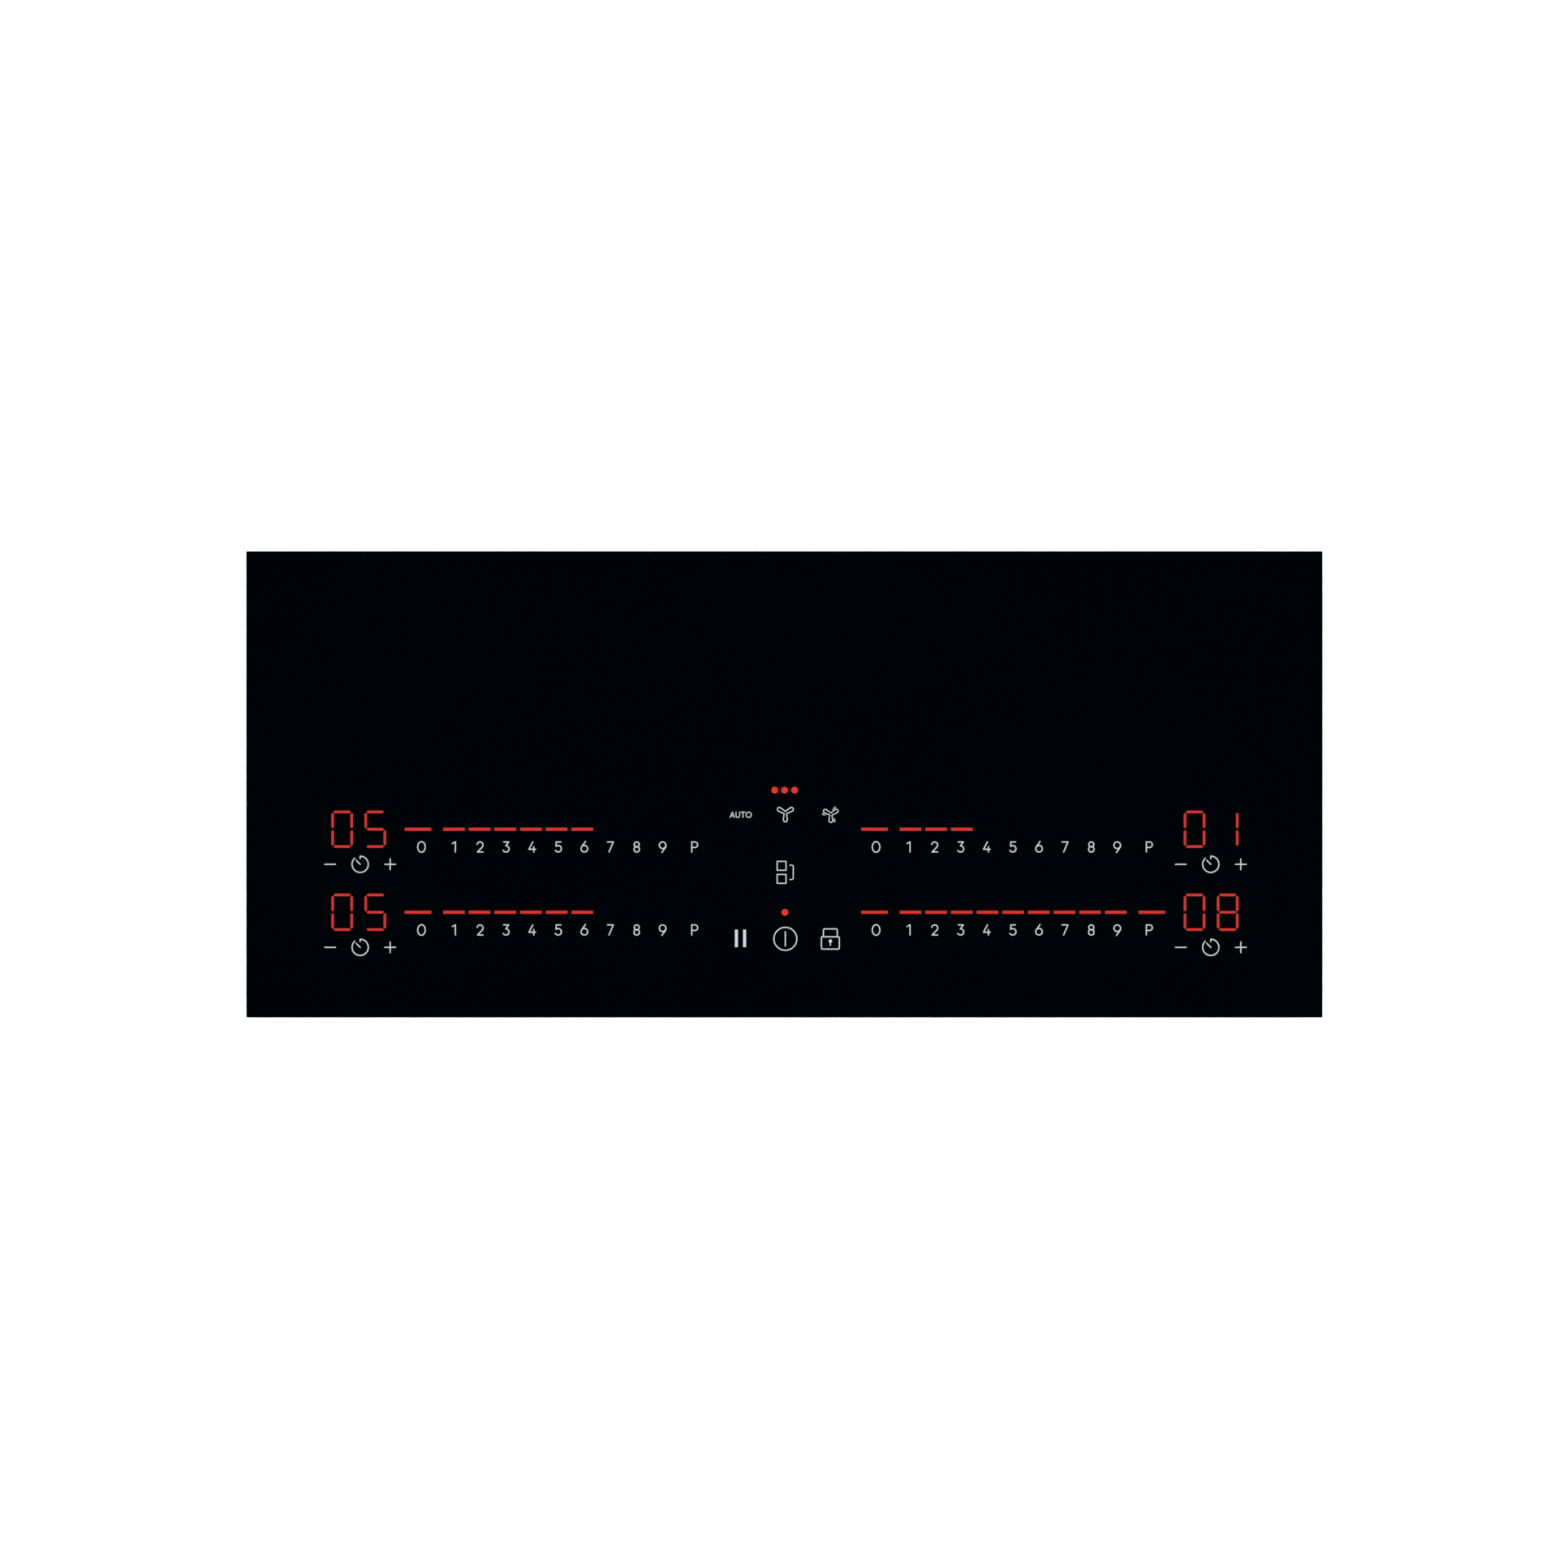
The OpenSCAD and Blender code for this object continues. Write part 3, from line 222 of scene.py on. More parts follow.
def strand_stripes_and_painted_shade():
    """Slanted stripes round a stranded wire, from the attributes that its sweep leaves. Spread over a
    colour, their dark part is painted shade in the grooves between strands.
    """
    group, start, end = shader_group("Twisted strands and painted groove shade", {"Strands": 7.0, "Lay": 14.0})
    along = group.nodes.new("ShaderNodeAttribute")
    along.attribute_name = "along"
    around = group.nodes.new("ShaderNodeAttribute")
    around.attribute_name = "around"
    strand = reckon(group, "MULTIPLY", around.outputs["Fac"], start.outputs["Strands"])
    twist = reckon(group, "DIVIDE", along.outputs["Fac"], start.outputs["Lay"])
    angle = reckon(group, "MULTIPLY", reckon(group, "ADD", strand, twist), math.tau)
    strand_relief_and_painted_shade = reckon(group, "MULTIPLY_ADD", reckon(group, "SINE", angle), 0.5, 0.5)
    return put_out(group, end, strand_relief_and_painted_shade, strand_relief_and_painted_shade)


GRAIN = fine_grain()
TRACKS = board_tracks()
STRAND_STRIPES_AND_PAINTED_SHADE = strand_stripes_and_painted_shade()
LINES = drawn_lines()
CRYSTALS = zinc_crystals()


# %% [markdown]
# ## Finishes
#
# One function wires a finish: the group's mask spreads between two colours and between two
# values of roughness, and its height goes through a Bump. What is the same all over a
# surface, such as metalness, is set on the shader itself.

# %% The function that mixes a finish
def finish(name, group, dark, light, rough, bump, metal=0.0, depth=0.02, coat=0.0, **sizes):
    mat = bpy.data.materials.new(name)
    mat.use_nodes = True
    tree = mat.node_tree
    shader = tree.nodes["Principled BSDF"]
    shader.inputs["Metallic"].default_value = metal
    shader.inputs["Coat Weight"].default_value = coat
    where = tree.nodes.new("ShaderNodeTexCoord")
    pattern = tree.nodes.new("ShaderNodeGroup")
    pattern.node_tree = group
    for label, value in sizes.items():
        pattern.inputs[label.replace("_", " ").capitalize()].default_value = value
    colour = tree.nodes.new("ShaderNodeMix")
    colour.data_type = "RGBA"
    colour.inputs["A"].default_value = (*dark, 1)
    colour.inputs["B"].default_value = (*light, 1)
    spread = tree.nodes.new("ShaderNodeMapRange")
    spread.inputs["To Min"].default_value = rough[0]
    spread.inputs["To Max"].default_value = rough[1]
    relief = tree.nodes.new("ShaderNodeBump")
    relief.inputs["Strength"].default_value = bump
    relief.inputs["Distance"].default_value = depth * MM
    tree.links.new(where.outputs["Object"], pattern.inputs["Vector"])
    tree.links.new(pattern.outputs["Mask"], colour.inputs["Factor"])
    tree.links.new(pattern.outputs["Mask"], spread.inputs["Value"])
    tree.links.new(pattern.outputs["Height"], relief.inputs["Height"])
    tree.links.new(colour.outputs["Result"], shader.inputs["Base Color"])
    tree.links.new(spread.outputs["Result"], shader.inputs["Roughness"])
    tree.links.new(relief.outputs["Normal"], shader.inputs["Normal"])
    return mat


def wear(name, mat):
    """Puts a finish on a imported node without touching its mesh."""
    for slot in nodes[name].material_slots:
        slot.material = mat


# %% Metals
galvanised = finish("galvanised_sheet", CRYSTALS, (0.43, 0.44, 0.46), (0.57, 0.58, 0.6),
                    (0.34, 0.48), 0.2, metal=1.0, scale=125, grit=1500)
zinc_plate = finish("zinc_plated_steel", GRAIN, (0.5, 0.5, 0.52), (0.72, 0.72, 0.74),
                    (0.22, 0.4), 0.15, metal=1.0, scale=1400, blotch_scale=120)
clamp_steel = finish("zinc_plated_strip", LINES, (0.48, 0.49, 0.51), (0.7, 0.7, 0.72),
                     (0.25, 0.45), 0.2, metal=1.0, scale=90, stretch=12)
brass = finish("turned_brass", GRAIN, (0.6, 0.42, 0.16), (0.82, 0.64, 0.3),
               (0.2, 0.4), 0.1, metal=1.0, scale=1800, blotch_scale=200)
sheet_aluminium = finish("rolled_aluminium", LINES, (0.62, 0.63, 0.65), (0.84, 0.85, 0.86),
                         (0.28, 0.46), 0.2, metal=1.0, scale=50, stretch=30)
extruded_aluminium = finish("extruded_aluminium", LINES, (0.55, 0.56, 0.58), (0.78, 0.79, 0.81),
                            (0.3, 0.5), 0.3, metal=1.0, scale=30, stretch=60)
spring_steel = finish("spring_strip", LINES, (0.3, 0.31, 0.34), (0.55, 0.56, 0.6),
                      (0.2, 0.38), 0.15, metal=1.0, scale=120, stretch=8)
motor_steel = finish("pressed_steel_can", GRAIN, (0.22, 0.22, 0.24), (0.4, 0.4, 0.42),
                     (0.25, 0.42), 0.12, metal=1.0, scale=1200, blotch_scale=90)
# Its dark colour is painted shade in the grooves between the strands; the light one is the wire's own
# colour.
litz_with_painted_groove_shade = finish("varnished_litz_painted_groove_shade", STRAND_STRIPES_AND_PAINTED_SHADE, (0.22, 0.06, 0.015), (0.78, 0.34, 0.12),
                     (0.42, 0.24), 0.9, metal=0.85, coat=0.4, depth=0.25, strands=7, lay=0.009)
choke_copper = finish("enamelled_copper", GRAIN, (0.36, 0.1, 0.025), (0.72, 0.28, 0.08),
                      (0.2, 0.34), 0.15, metal=0.8, coat=0.5, scale=2600, blotch_scale=260)

# %% Plastics, rubber, ceramic and boards
black_plastic = finish("black_moulded_plastic", GRAIN, (0.012, 0.012, 0.013), (0.03, 0.03, 0.032),
                       (0.42, 0.62), 0.35, scale=1500, blotch_scale=60)
grey_plastic = finish("light_grey_plastic", GRAIN, (0.58, 0.58, 0.55), (0.7, 0.7, 0.67),
                      (0.4, 0.58), 0.3, scale=1300, blotch_scale=40)
former_plastic = finish("heatproof_cream_plastic", GRAIN, (0.56, 0.52, 0.42), (0.72, 0.69, 0.6),
                        (0.45, 0.65), 0.4, scale=900, blotch_scale=50)
ribbon_plastic = finish("flat_cable_grey", LINES, (0.42, 0.43, 0.45), (0.58, 0.59, 0.61),
                        (0.45, 0.6), 0.5, scale=40, stretch=20)
silicone_red = finish("red_silicone_sleeve", GRAIN, (0.42, 0.04, 0.02), (0.6, 0.08, 0.04),
                      (0.4, 0.55), 0.2, scale=1600, blotch_scale=150)
black_rubber = finish("soft_black_rubber", GRAIN, (0.01, 0.01, 0.01), (0.028, 0.028, 0.028),
                      (0.6, 0.85), 0.4, scale=1800, blotch_scale=90)
silicone_black = finish("black_silicone_bead", GRAIN, (0.012, 0.012, 0.013), (0.03, 0.03, 0.03),
                        (0.3, 0.45), 0.15, scale=500, blotch_scale=70)
closed_foam = finish("closed_cell_foam", GRAIN, (0.018, 0.018, 0.019), (0.07, 0.07, 0.072),
                     (0.8, 0.97), 0.9, depth=0.15, scale=900, blotch_scale=240)
pad_foam = finish("conductive_foam", GRAIN, (0.09, 0.09, 0.1), (0.2, 0.2, 0.21),
                  (0.75, 0.95), 0.9, depth=0.12, scale=1300, blotch_scale=300)
mica = finish("pressed_mica", GRAIN, (0.42, 0.36, 0.26), (0.72, 0.66, 0.54),
              (0.3, 0.7), 0.5, scale=350, blotch_scale=110)
ferrite = finish("sintered_ferrite", GRAIN, (0.03, 0.03, 0.032), (0.075, 0.075, 0.08),
                 (0.55, 0.8), 0.5, scale=1500, blotch_scale=120)
sensor_ceramic = finish("white_ceramic", GRAIN, (0.66, 0.66, 0.63), (0.8, 0.8, 0.78),
                        (0.25, 0.4), 0.1, scale=1100, blotch_scale=60)
solder_mask = finish("green_solder_mask", TRACKS, (0.008, 0.085, 0.03), (0.02, 0.18, 0.07),
                     (0.34, 0.2), 0.35, coat=0.4, scale=60, pad_scale=230)
blue_coating = finish("blue_dipped_coating", GRAIN, (0.02, 0.05, 0.2), (0.05, 0.1, 0.34),
                      (0.2, 0.36), 0.2, coat=0.3, scale=700, blotch_scale=80)
yellow_case = finish("yellow_film_case", GRAIN, (0.6, 0.42, 0.03), (0.78, 0.6, 0.08),
                     (0.3, 0.45), 0.15, scale=900, blotch_scale=70)
black_resin = finish("black_epoxy_case", GRAIN, (0.01, 0.01, 0.011), (0.035, 0.035, 0.037),
                     (0.35, 0.55), 0.25, scale=2200, blotch_scale=160)
relay_case = finish("translucent_blue_case", GRAIN, (0.05, 0.16, 0.36), (0.09, 0.24, 0.48),
                    (0.18, 0.32), 0.1, coat=0.3, scale=900, blotch_scale=60)

# %% [markdown]
# ## Glass, print and light
#
# The glass-ceramic is near black with a trace of blue, and polished: its look is almost all
# reflection. A very slight change of roughness over the sheet stands for the film that wiping
# leaves. The print is matt enamel. A lit window is a light source seen through the glass, so
# its material glows, and an attribute on the mesh says how far a spot is from the lamp.

# %% Black glass, ground edge and white enamel
black_glass = finish("black_glass_ceramic", GRAIN, (0.0, 0.0009, 0.0018), (0.0001, 0.0012, 0.0022),
                     (0.03, 0.06), 0.01, scale=60, blotch_scale=6)
ground_edge = finish("ground_glass_edge", GRAIN, (0.0002, 0.0009, 0.0016), (0.001, 0.0018, 0.0026),
                     (0.18, 0.34), 0.12, scale=1500, blotch_scale=200)
enamel = finish("white_enamel", GRAIN, (0.55, 0.565, 0.58), (0.63, 0.645, 0.66),
                (0.55, 0.7), 0.2, scale=1500, blotch_scale=90)


# %% Red light
def lit(name, rim, core, strength):
    mat = bpy.data.materials.new(name)
    mat.use_nodes = True
    tree = mat.node_tree
    shader = tree.nodes["Principled BSDF"]
    shader.inputs["Base Color"].default_value = (0.02, 0.001, 0.001, 1)
    shader.inputs["Roughness"].default_value = 0.3
    shader.inputs["Emission Strength"].default_value = strength
    glow = tree.nodes.new("ShaderNodeAttribute")
    glow.attribute_name = "glow"
    colour = tree.nodes.new("ShaderNodeMix")
    colour.data_type = "RGBA"
    colour.inputs["A"].default_value = (*rim, 1)
    colour.inputs["B"].default_value = (*core, 1)
    tree.links.new(glow.outputs["Fac"], colour.inputs["Factor"])
    tree.links.new(colour.outputs["Result"], shader.inputs["Emission Color"])
    return mat


red_light = lit("red_light", (0.46, 0.035, 0.026), (0.67, 0.022, 0.014), 1.0)
dot_light = lit("red_lamp_dot", (0.5, 0.05, 0.034), (0.9, 0.016, 0.008), 1.0)
print("finishes:", len(bpy.data.materials))


# %% [markdown]
# ## The glass top
#
# A sheet of glass is cut, and then its edge is ground so that it isn't sharp. The outline is
# a rectangle with tiny corner radii, and it is repeated at a few heights with a small inset,
# which makes the ground edge: flat faces in the middle, rounded shoulders above and below.

# %% Build the glass
def rounded_outline(low, high, radius, steps=6):
    points = []
    left, right = low.x + radius, high.x - radius
    front, rear = low.y + radius, high.y - radius
    for cx, cy, start in ((right, rear, 0), (left, rear, 90), (left, front, 180), (right, front, 270)):
        for step in range(steps + 1):
            angle = math.radians(start + 90 * step / steps)
            points.append((cx + radius * math.cos(angle), cy + radius * math.sin(angle)))
    return points


def ground_sheet(name, low, high, corner, shoulder, steps=4):
    levels = []
    for step in range(steps + 1):
        angle = math.pi / 2 * step / steps
        rise = shoulder * (1 - math.cos(angle)) * 0.6
        levels.append((shoulder * (1 - math.sin(angle)), low.z + rise))
    levels += [(inset, high.z - (z - low.z)) for inset, z in reversed(levels)]
    points, faces = [], []
    for inset, z in levels:
        edge = Vector((inset, inset, 0))
        ring = rounded_outline(low + edge, high - edge, max(corner - inset, 0.05 * MM))
        points += [(x, y, z) for x, y in ring]
    count = len(points) // len(levels)
    for level in range(len(levels) - 1):
        for i in range(count):
            j = (i + 1) % count
            a, b = level * count, (level + 1) * count
            faces.append((a + i, a + j, b + j, b + i))
    faces.append(tuple(reversed(range(count))))
    faces.append(tuple(range(len(points) - count, len(points))))
    return mesh_of(name, points, faces)


shoulder = 0.3 * MM
glass_mesh = ground_sheet("glass_sheet", glass_low, glass_high, 1.0 * MM, shoulder)
glass_mesh.materials.append(black_glass)
glass_mesh.materials.append(ground_edge)
for face in glass_mesh.polygons:
    flat = abs(face.normal.z) > 0.99 and face.area > 0.01
    face.use_smooth = not flat
    face.material_index = 0 if flat else 1
glass = place("glass_sheet", glass_mesh)
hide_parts("glass_top")
print("glass:", len(glass_mesh.polygons), "faces")


# %% [markdown]
# ## Printed marks as pen strokes
#
# A number or a sign on the glass is a few strokes of one width with round ends. Where strokes
# cross, the outline must be one clean shape, so the strokes of a mark are merged in the plane:
# a constrained triangulation keeps each triangle that lies inside any stroke, and edges with
# one triangle become the thin side walls of the film.

# %% Strokes and their outlines
def line(*points):
    return [[Vector(a), Vector(b)] for a, b in zip(points, points[1:])]


def bow(centre, radius, start, end):
    steps = max(4, round(abs(end - start) / 9))
    angles = [math.radians(start + (end - start) * i / steps) for i in range(steps + 1)]
    return [[Vector(centre) + radius * Vector((math.cos(a), math.sin(a))) for a in angles]]


def ring(centre, radius):
    return bow(centre, radius, 0, 180) + bow(centre, radius, 180, 360)


def band(path, width):
    """The outline of one stroke, with round ends."""
    half = width / 2
    left, right = [], []
    for i, point in enumerate(path):
        before = path[max(i - 1, 0)]
        after = path[min(i + 1, len(path) - 1)]
        side = (after - before).normalized().orthogonal() * half
        left.append(point + side)
        right.append(point - side)

    def cap(point, start):
        return [point + Matrix.Rotation(-math.pi * k / 8, 2) @ (start - point) for k in range(1, 8)]

    outline = left + cap(path[-1], left[-1]) + right[::-1] + cap(path[0], right[0])
    return outline[::-1]


def blot(centre, radius):
    return [Vector(centre) + radius * Vector((math.cos(a), math.sin(a)))
            for a in (math.tau * k / 40 for k in range(40))]


# %% Merge the strokes of a mark into one film
def film_of(shapes, origin, points, faces):
    """Adds the merged shapes, given in mm round origin, as a closed film on the glass."""
    corners, loops = [], []
    for shape in shapes:
        loops.append(list(range(len(corners), len(corners) + len(shape))))
        corners += shape
    flat, _, triangles, _, _, source = delaunay_2d_cdt(corners, [], loops, 1, 1e-5, True)
    kept = [tri for tri, owners in zip(triangles, source) if owners]
    base = len(points)
    for z in (glass_high.z, glass_high.z + film):
        points += [(origin[0] + p.x * MM, origin[1] + p.y * MM, z) for p in flat]
    top = base + len(flat)
    edges = {}
    for tri in kept:
        faces.append(tuple(top + i for i in tri))
        faces.append(tuple(base + i for i in reversed(tri)))
        for a, b in zip(tri, tri[1:] + tri[:1]):
            edges[(a, b)] = edges.get((a, b), 0) + 1
    for a, b in edges:
        if (b, a) not in edges:
            faces.append((base + a, base + b, top + b, top + a))


def printed(name, marks, mat, *stands_for):
    """marks: list of (origin in m, outlines in mm)."""
    points, faces = [], []
    for origin, shapes in marks:
        film_of(shapes, origin, points, faces)
    mesh = mesh_of(name, points, faces)
    form = bmesh.new()
    form.from_mesh(mesh)
    loose = [v for v in form.verts if not v.link_faces]
    bmesh.ops.delete(form, geom=loose, context="VERTS")
    form.to_mesh(mesh)
    form.free()
    mesh.materials.append(mat)
    piece = place(name, mesh)
    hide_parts(*stands_for)
    print(name, len(mesh.polygons), "faces")
    return piece


# %% [markdown]
# ## Numbers
#
# The numbers are plain, open forms of one stroke width, as on a speed dial. Each is written
# in mm about its own centre: straight runs, bows and rings.

# %% The ten numbers and the P
def lean_ring(turn):
    shapes = ring((-0.15 * turn, -1.45), 2.75) + line((-2.55, -0.1), (0.75, 4.6))
    return [[turn * p for p in path] for path in shapes]


def oval(centre, rx, ry):
    cx, cy = centre
    return [[Vector((cx + p.x * rx, cy + p.y * ry)) for p in path] for path in ring((0, 0), 1)]


NUMBERS = [
    oval((-0.35, 0), 3.15, 4.4),
    line((-1.5, 2.9), (1, 4.3), (1, -4.2)),
    bow((-0.15, 1.7), 2.5, 170, -38) + line((1.87, 0.16), (-2.3, -4.2), (2.3, -4.2)),
    line((-2.2, 4.2), (1.95, 4.2), (-0.4, 0.9)) + bow((-0.3, -1.65), 2.6, 92, -150),
    line((0.3, 4.2), (-2.9, -1.9), (2.6, -1.9)) + line((1.2, 0.3), (1.2, -4.2)),
    line((2, 4.2), (-1.9, 4.2), (-2.03, 0.57)) + bow((-0.3, -1.5), 2.7, 130, -150),
    lean_ring(1),
    line((-2.65, 4.2), (2.25, 4.2), (-1.35, -4.2)),
    ring((0, 2.1), 2.1) + ring((0, -1.95), 2.3),
    lean_ring(-1),
    line((-2.8, -4.2), (-2.8, 4.2), (-0.1, 4.2)) + line((-2.8, -0.4), (-0.1, -0.4))
    + bow((-0.1, 1.9), 2.3, 90, -90),
]
pen = 0.92

# %% Scales: numbers on the glass and their bars
number_x = [-276.1, 104.0]
bar_x = [-276.3, 105.4]
number_pitch, number_end, number_drop = 21.8, 27.0, 14.7
bar_pitch, bar_end, bar_long, bar_end_long, bar_wide = 21.46, 30.1, 18.0, 22.2, 2.65
lit_counts = [[7, 7], [11, 4]]        # lower and upper row, left then right


def along(first, pitch, end, n):
    if n == 0:
        return (first - end) * MM
    if n == 10:
        return (first + 8 * pitch + end) * MM
    return (first + (n - 1) * pitch) * MM


def bar_outline(n):
    long = (bar_end_long if n % 10 == 0 else bar_long) / 2
    half = bar_wide / 2
    return [Vector(p) for p in ((-long, -half), (long, -half), (long, half), (-long, half))]


numbers, lit_bars = [], []
for side in (0, 1):
    for row in (0, 1):
        for n in range(11):
            x = along(number_x[side], number_pitch, number_end, n)
            outlines = [band(path, pen) for path in NUMBERS[n]]
            numbers.append(((x, rows[row] - number_drop * MM), outlines))
            if n < lit_counts[side][row]:
                x = along(bar_x[side], bar_pitch, bar_end, n)
                lit_bars.append(((x, rows[row] + 0.1 * MM), bar_outline(n)))

scales = printed("enamel_scales", numbers, enamel, "printed_scales")


# %% [markdown]
# ## Keys
#
# Under each pair of figures lie minus, timer and plus. The middle block has the keys for the
# whole hob: AUTO and two fan signs on top, the zone bridge, and pause, power and lock below.

# %% Timer keys
timer_x = [-354.7, 356.5]
timer_drop, timer_step, arm = 29.2, 25.1, 4.45
timer_sign = bow((0, 0), 6.8, 132, 450) + line((0, 6.8), (0, 4.8)) + line((-3.3, 3.3), (0, 0))
minus = line((-arm, 0), (arm, 0))
plus = minus + line((0, -arm), (0, arm))
timers = []
for side in (0, 1):
    for row in (0, 1):
        for sign, shift in ((minus, -timer_step), (timer_sign, 0), (plus, timer_step)):
            origin = ((timer_x[side] + shift) * MM, rows[row] - timer_drop * MM)
            timers.append((origin, [band(path, pen) for path in sign]))
timer_keys = printed("enamel_timer_keys", timers, enamel, "printed_timer_keys")


# %% Signs of the middle block
def turned(paths, degrees):
    turn = Matrix.Rotation(math.radians(degrees), 2)
    return [[turn @ p for p in path] for path in paths]


def fan_sign(size):
    blade = bow((5.9 * size, 0), 1.7 * size, -90, 90)
    for side in (-1, 1):
        blade += line((0.66 * size, 1.1 * side * size), (5.9 * size, 1.7 * side * size))
    return [path for angle in (30, 150, 270) for path in turned(blade, angle)]


def speed_marks(size):
    marks = line((3.6 * size, 2.9 * size), (7.1 * size, 2.9 * size))
    marks += line((4.9 * size, 3.9 * size), (7.1 * size, 3.9 * size))
    return [path for angle in (30, 150, 270) for path in turned(marks, angle)]


def square_sign(x, y, half):
    return line((x - half, y - half), (x + half, y - half), (x + half, y + half), (x - half, y + half),
                (x - half, y - half))


def bracket(x, y, radius, tail):
    upper = line((x - radius - tail, y), (x - radius, y)) + bow((x - radius, y - radius), radius, 90, 0)
    lower = [[Vector((p.x, -p.y)) for p in path] for path in upper]
    return upper + lower + line((x, y - radius), (x, radius - y))


def lock_sign():
    half, low, high, corner, shackle, top = 7.5, -8.6, 1.7, 1.0, 5.8, 8.3
    paths = line((corner - half, low), (half - corner, low))
    paths += line((corner - half, high), (half - corner, high))
    paths += line((corner - shackle, top), (shackle - corner, top))
    for side in (-1, 1):
        right = line((half, low + corner), (half, high - corner))
        right += line((shackle, high), (shackle, top - corner))
        right += bow((half - corner, low + corner), corner, -90, 0)
        right += bow((half - corner, high - corner), corner, 0, 90)
        right += bow((shackle - corner, top - corner), corner, 0, 90)
        paths += [[Vector((side * p.x, p.y)) for p in path] for path in right]
    return paths


LETTERS = [
    line((-1.75, -2.2), (0, 2.2), (1.75, -2.2)) + line((-1.2, -0.9), (1.2, -0.9)),
    bow((0, -0.7), 1.5, 180, 360) + line((-1.5, -0.7), (-1.5, 2.2)) + line((1.5, -0.7), (1.5, 2.2)),
    line((-1.7, 2.2), (1.7, 2.2)) + line((0, 2.2), (0, -2.2)),
    ring((0, 0), 2.2),
]
letter_x = [-7.1, -2.4, 2.0, 6.85]

upper_y = rows[1] + 12 * MM
lower_y = rows[0] - 22.1 * MM
middle = []


def add_key(x, y, paths, width, *blots):
    middle.append(((x * MM, y), [band(path, width) for path in paths] + list(blots)))


for x, letter in zip(letter_x, LETTERS):
    add_key(x * 0.98 - 36.6, upper_y + 0.2 * MM, letter, 0.72)
add_key(0.8, upper_y + 1.8 * MM, fan_sign(0.98), 0.8)
add_key(38.8, upper_y + 0.6 * MM, fan_sign(0.9), 0.72)
add_key(38.8, upper_y + 0.6 * MM, speed_marks(0.9), 0.42)
bridge_y = rows[0] + 33.5 * MM
for y in (5.45, -5.45):
    add_key(-2.35, bridge_y, square_sign(0, y, 3.7), 0.85)
add_key(0.3, bridge_y, bracket(7.1, 6, 1.4, 1.3), 0.8)
add_key(0.8, lower_y, ring((0, 0), 9.6) + line((0, -5.9), (0, 5.9)), pen)
add_key(38.4, lower_y, lock_sign() + line((0, -2.2), (0, -5.4)), pen, blot((0, -1.9), 1.4))
for x in (-3.5, 3.35):
    half = 2.5 / 2
    block = [Vector(p) for p in ((x - half, -7.3), (x + half, -7.3), (x + half, 7.3), (x - half, 7.3))]
    add_key(-36.65, lower_y + 0.4 * MM, [], 1, block)
centre_keys = printed("enamel_centre_keys", middle, enamel, "printed_centre_keys")


# %% [markdown]
# ## Lit windows
#
# Behind each lit bar, figure and dot sits a lamp. A window is brightest over its lamp, so its
# mesh carries a "glow" attribute: 1 at the lamp and less towards the rim. Figures have seven
# windows with pointed ends, and each shown figure lights some of them.

# %% Windows with glow
def windows(name, shapes, mat, stands_for):
    """shapes: list of (origin in m, outline in mm). Each window is a fan round its middle."""
    points, faces, glow = [], [], []
    for (x, y), outline in shapes:
        base, count = len(points), len(outline)
        for z in (glass_high.z, glass_high.z + film):
            for scale, light in ((1.0, 0.0), (0.6, 0.8)):
                points += [(x + scale * p.x * MM, y + scale * p.y * MM, z) for p in outline]
                glow += [light] * count
            points.append((x, y, z))
            glow.append(1.0)
        layer = 2 * count + 1
        for i in range(count):
            j = (i + 1) % count
            for start, flip in ((base, True), (base + layer, False)):
                quad = (start + i, start + j, start + count + j, start + count + i)
                core = (start + count + i, start + count + j, start + 2 * count)
                faces += [quad[::-1], core[::-1]] if flip else [quad, core]
            faces.append((base + i, base + j, base + layer + j, base + layer + i))
    mesh = bpy.data.meshes.new(name)
    mesh.from_pydata(points, [], faces)
    mesh.attributes.new("glow", "FLOAT", "POINT").data.foreach_set("value", glow)
    mesh.materials.append(mat)
    piece = place(name, mesh)
    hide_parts(stands_for)
    print(name, len(shapes), "windows")
    return piece


windows("lit_bar_windows", lit_bars, red_light, "lit_bars")

dot_places = [(x, rows[1] + 32.8 * MM) for x in (-8.1, 0.1, 8.5)] + [(0.4, rows[0])]
dots = [((x * MM, y), blot((0, 0), 2.8)) for x, y in dot_places]
windows("lit_dot_windows", dots, dot_light, "lit_dots")

# %% Seven-segment figures
figure_tall, figure_wide, segment_wide, segment_gap = 31.1, 18.1, 2.15, 0.66
figure_x, figure_step, figure_drop = [-355.9, 356.75], 27.7, -0.1
shown = [["05", "05"], ["08", "01"]]  # lower and upper row, left then right
LIT_SEGMENTS = {"0": "abcdef", "1": "bc", "5": "acdfg", "8": "abcdefg"}


def segment(x, y, long, upright):
    half, point = long / 2 - segment_gap, segment_wide / 2
    outline = [(-half, 0), (point - half, -point), (half - point, -point), (half, 0),
               (half - point, point), (point - half, point)]
    return (x, y), [Vector((-b, a)) if upright else Vector((a, b)) for a, b in outline]


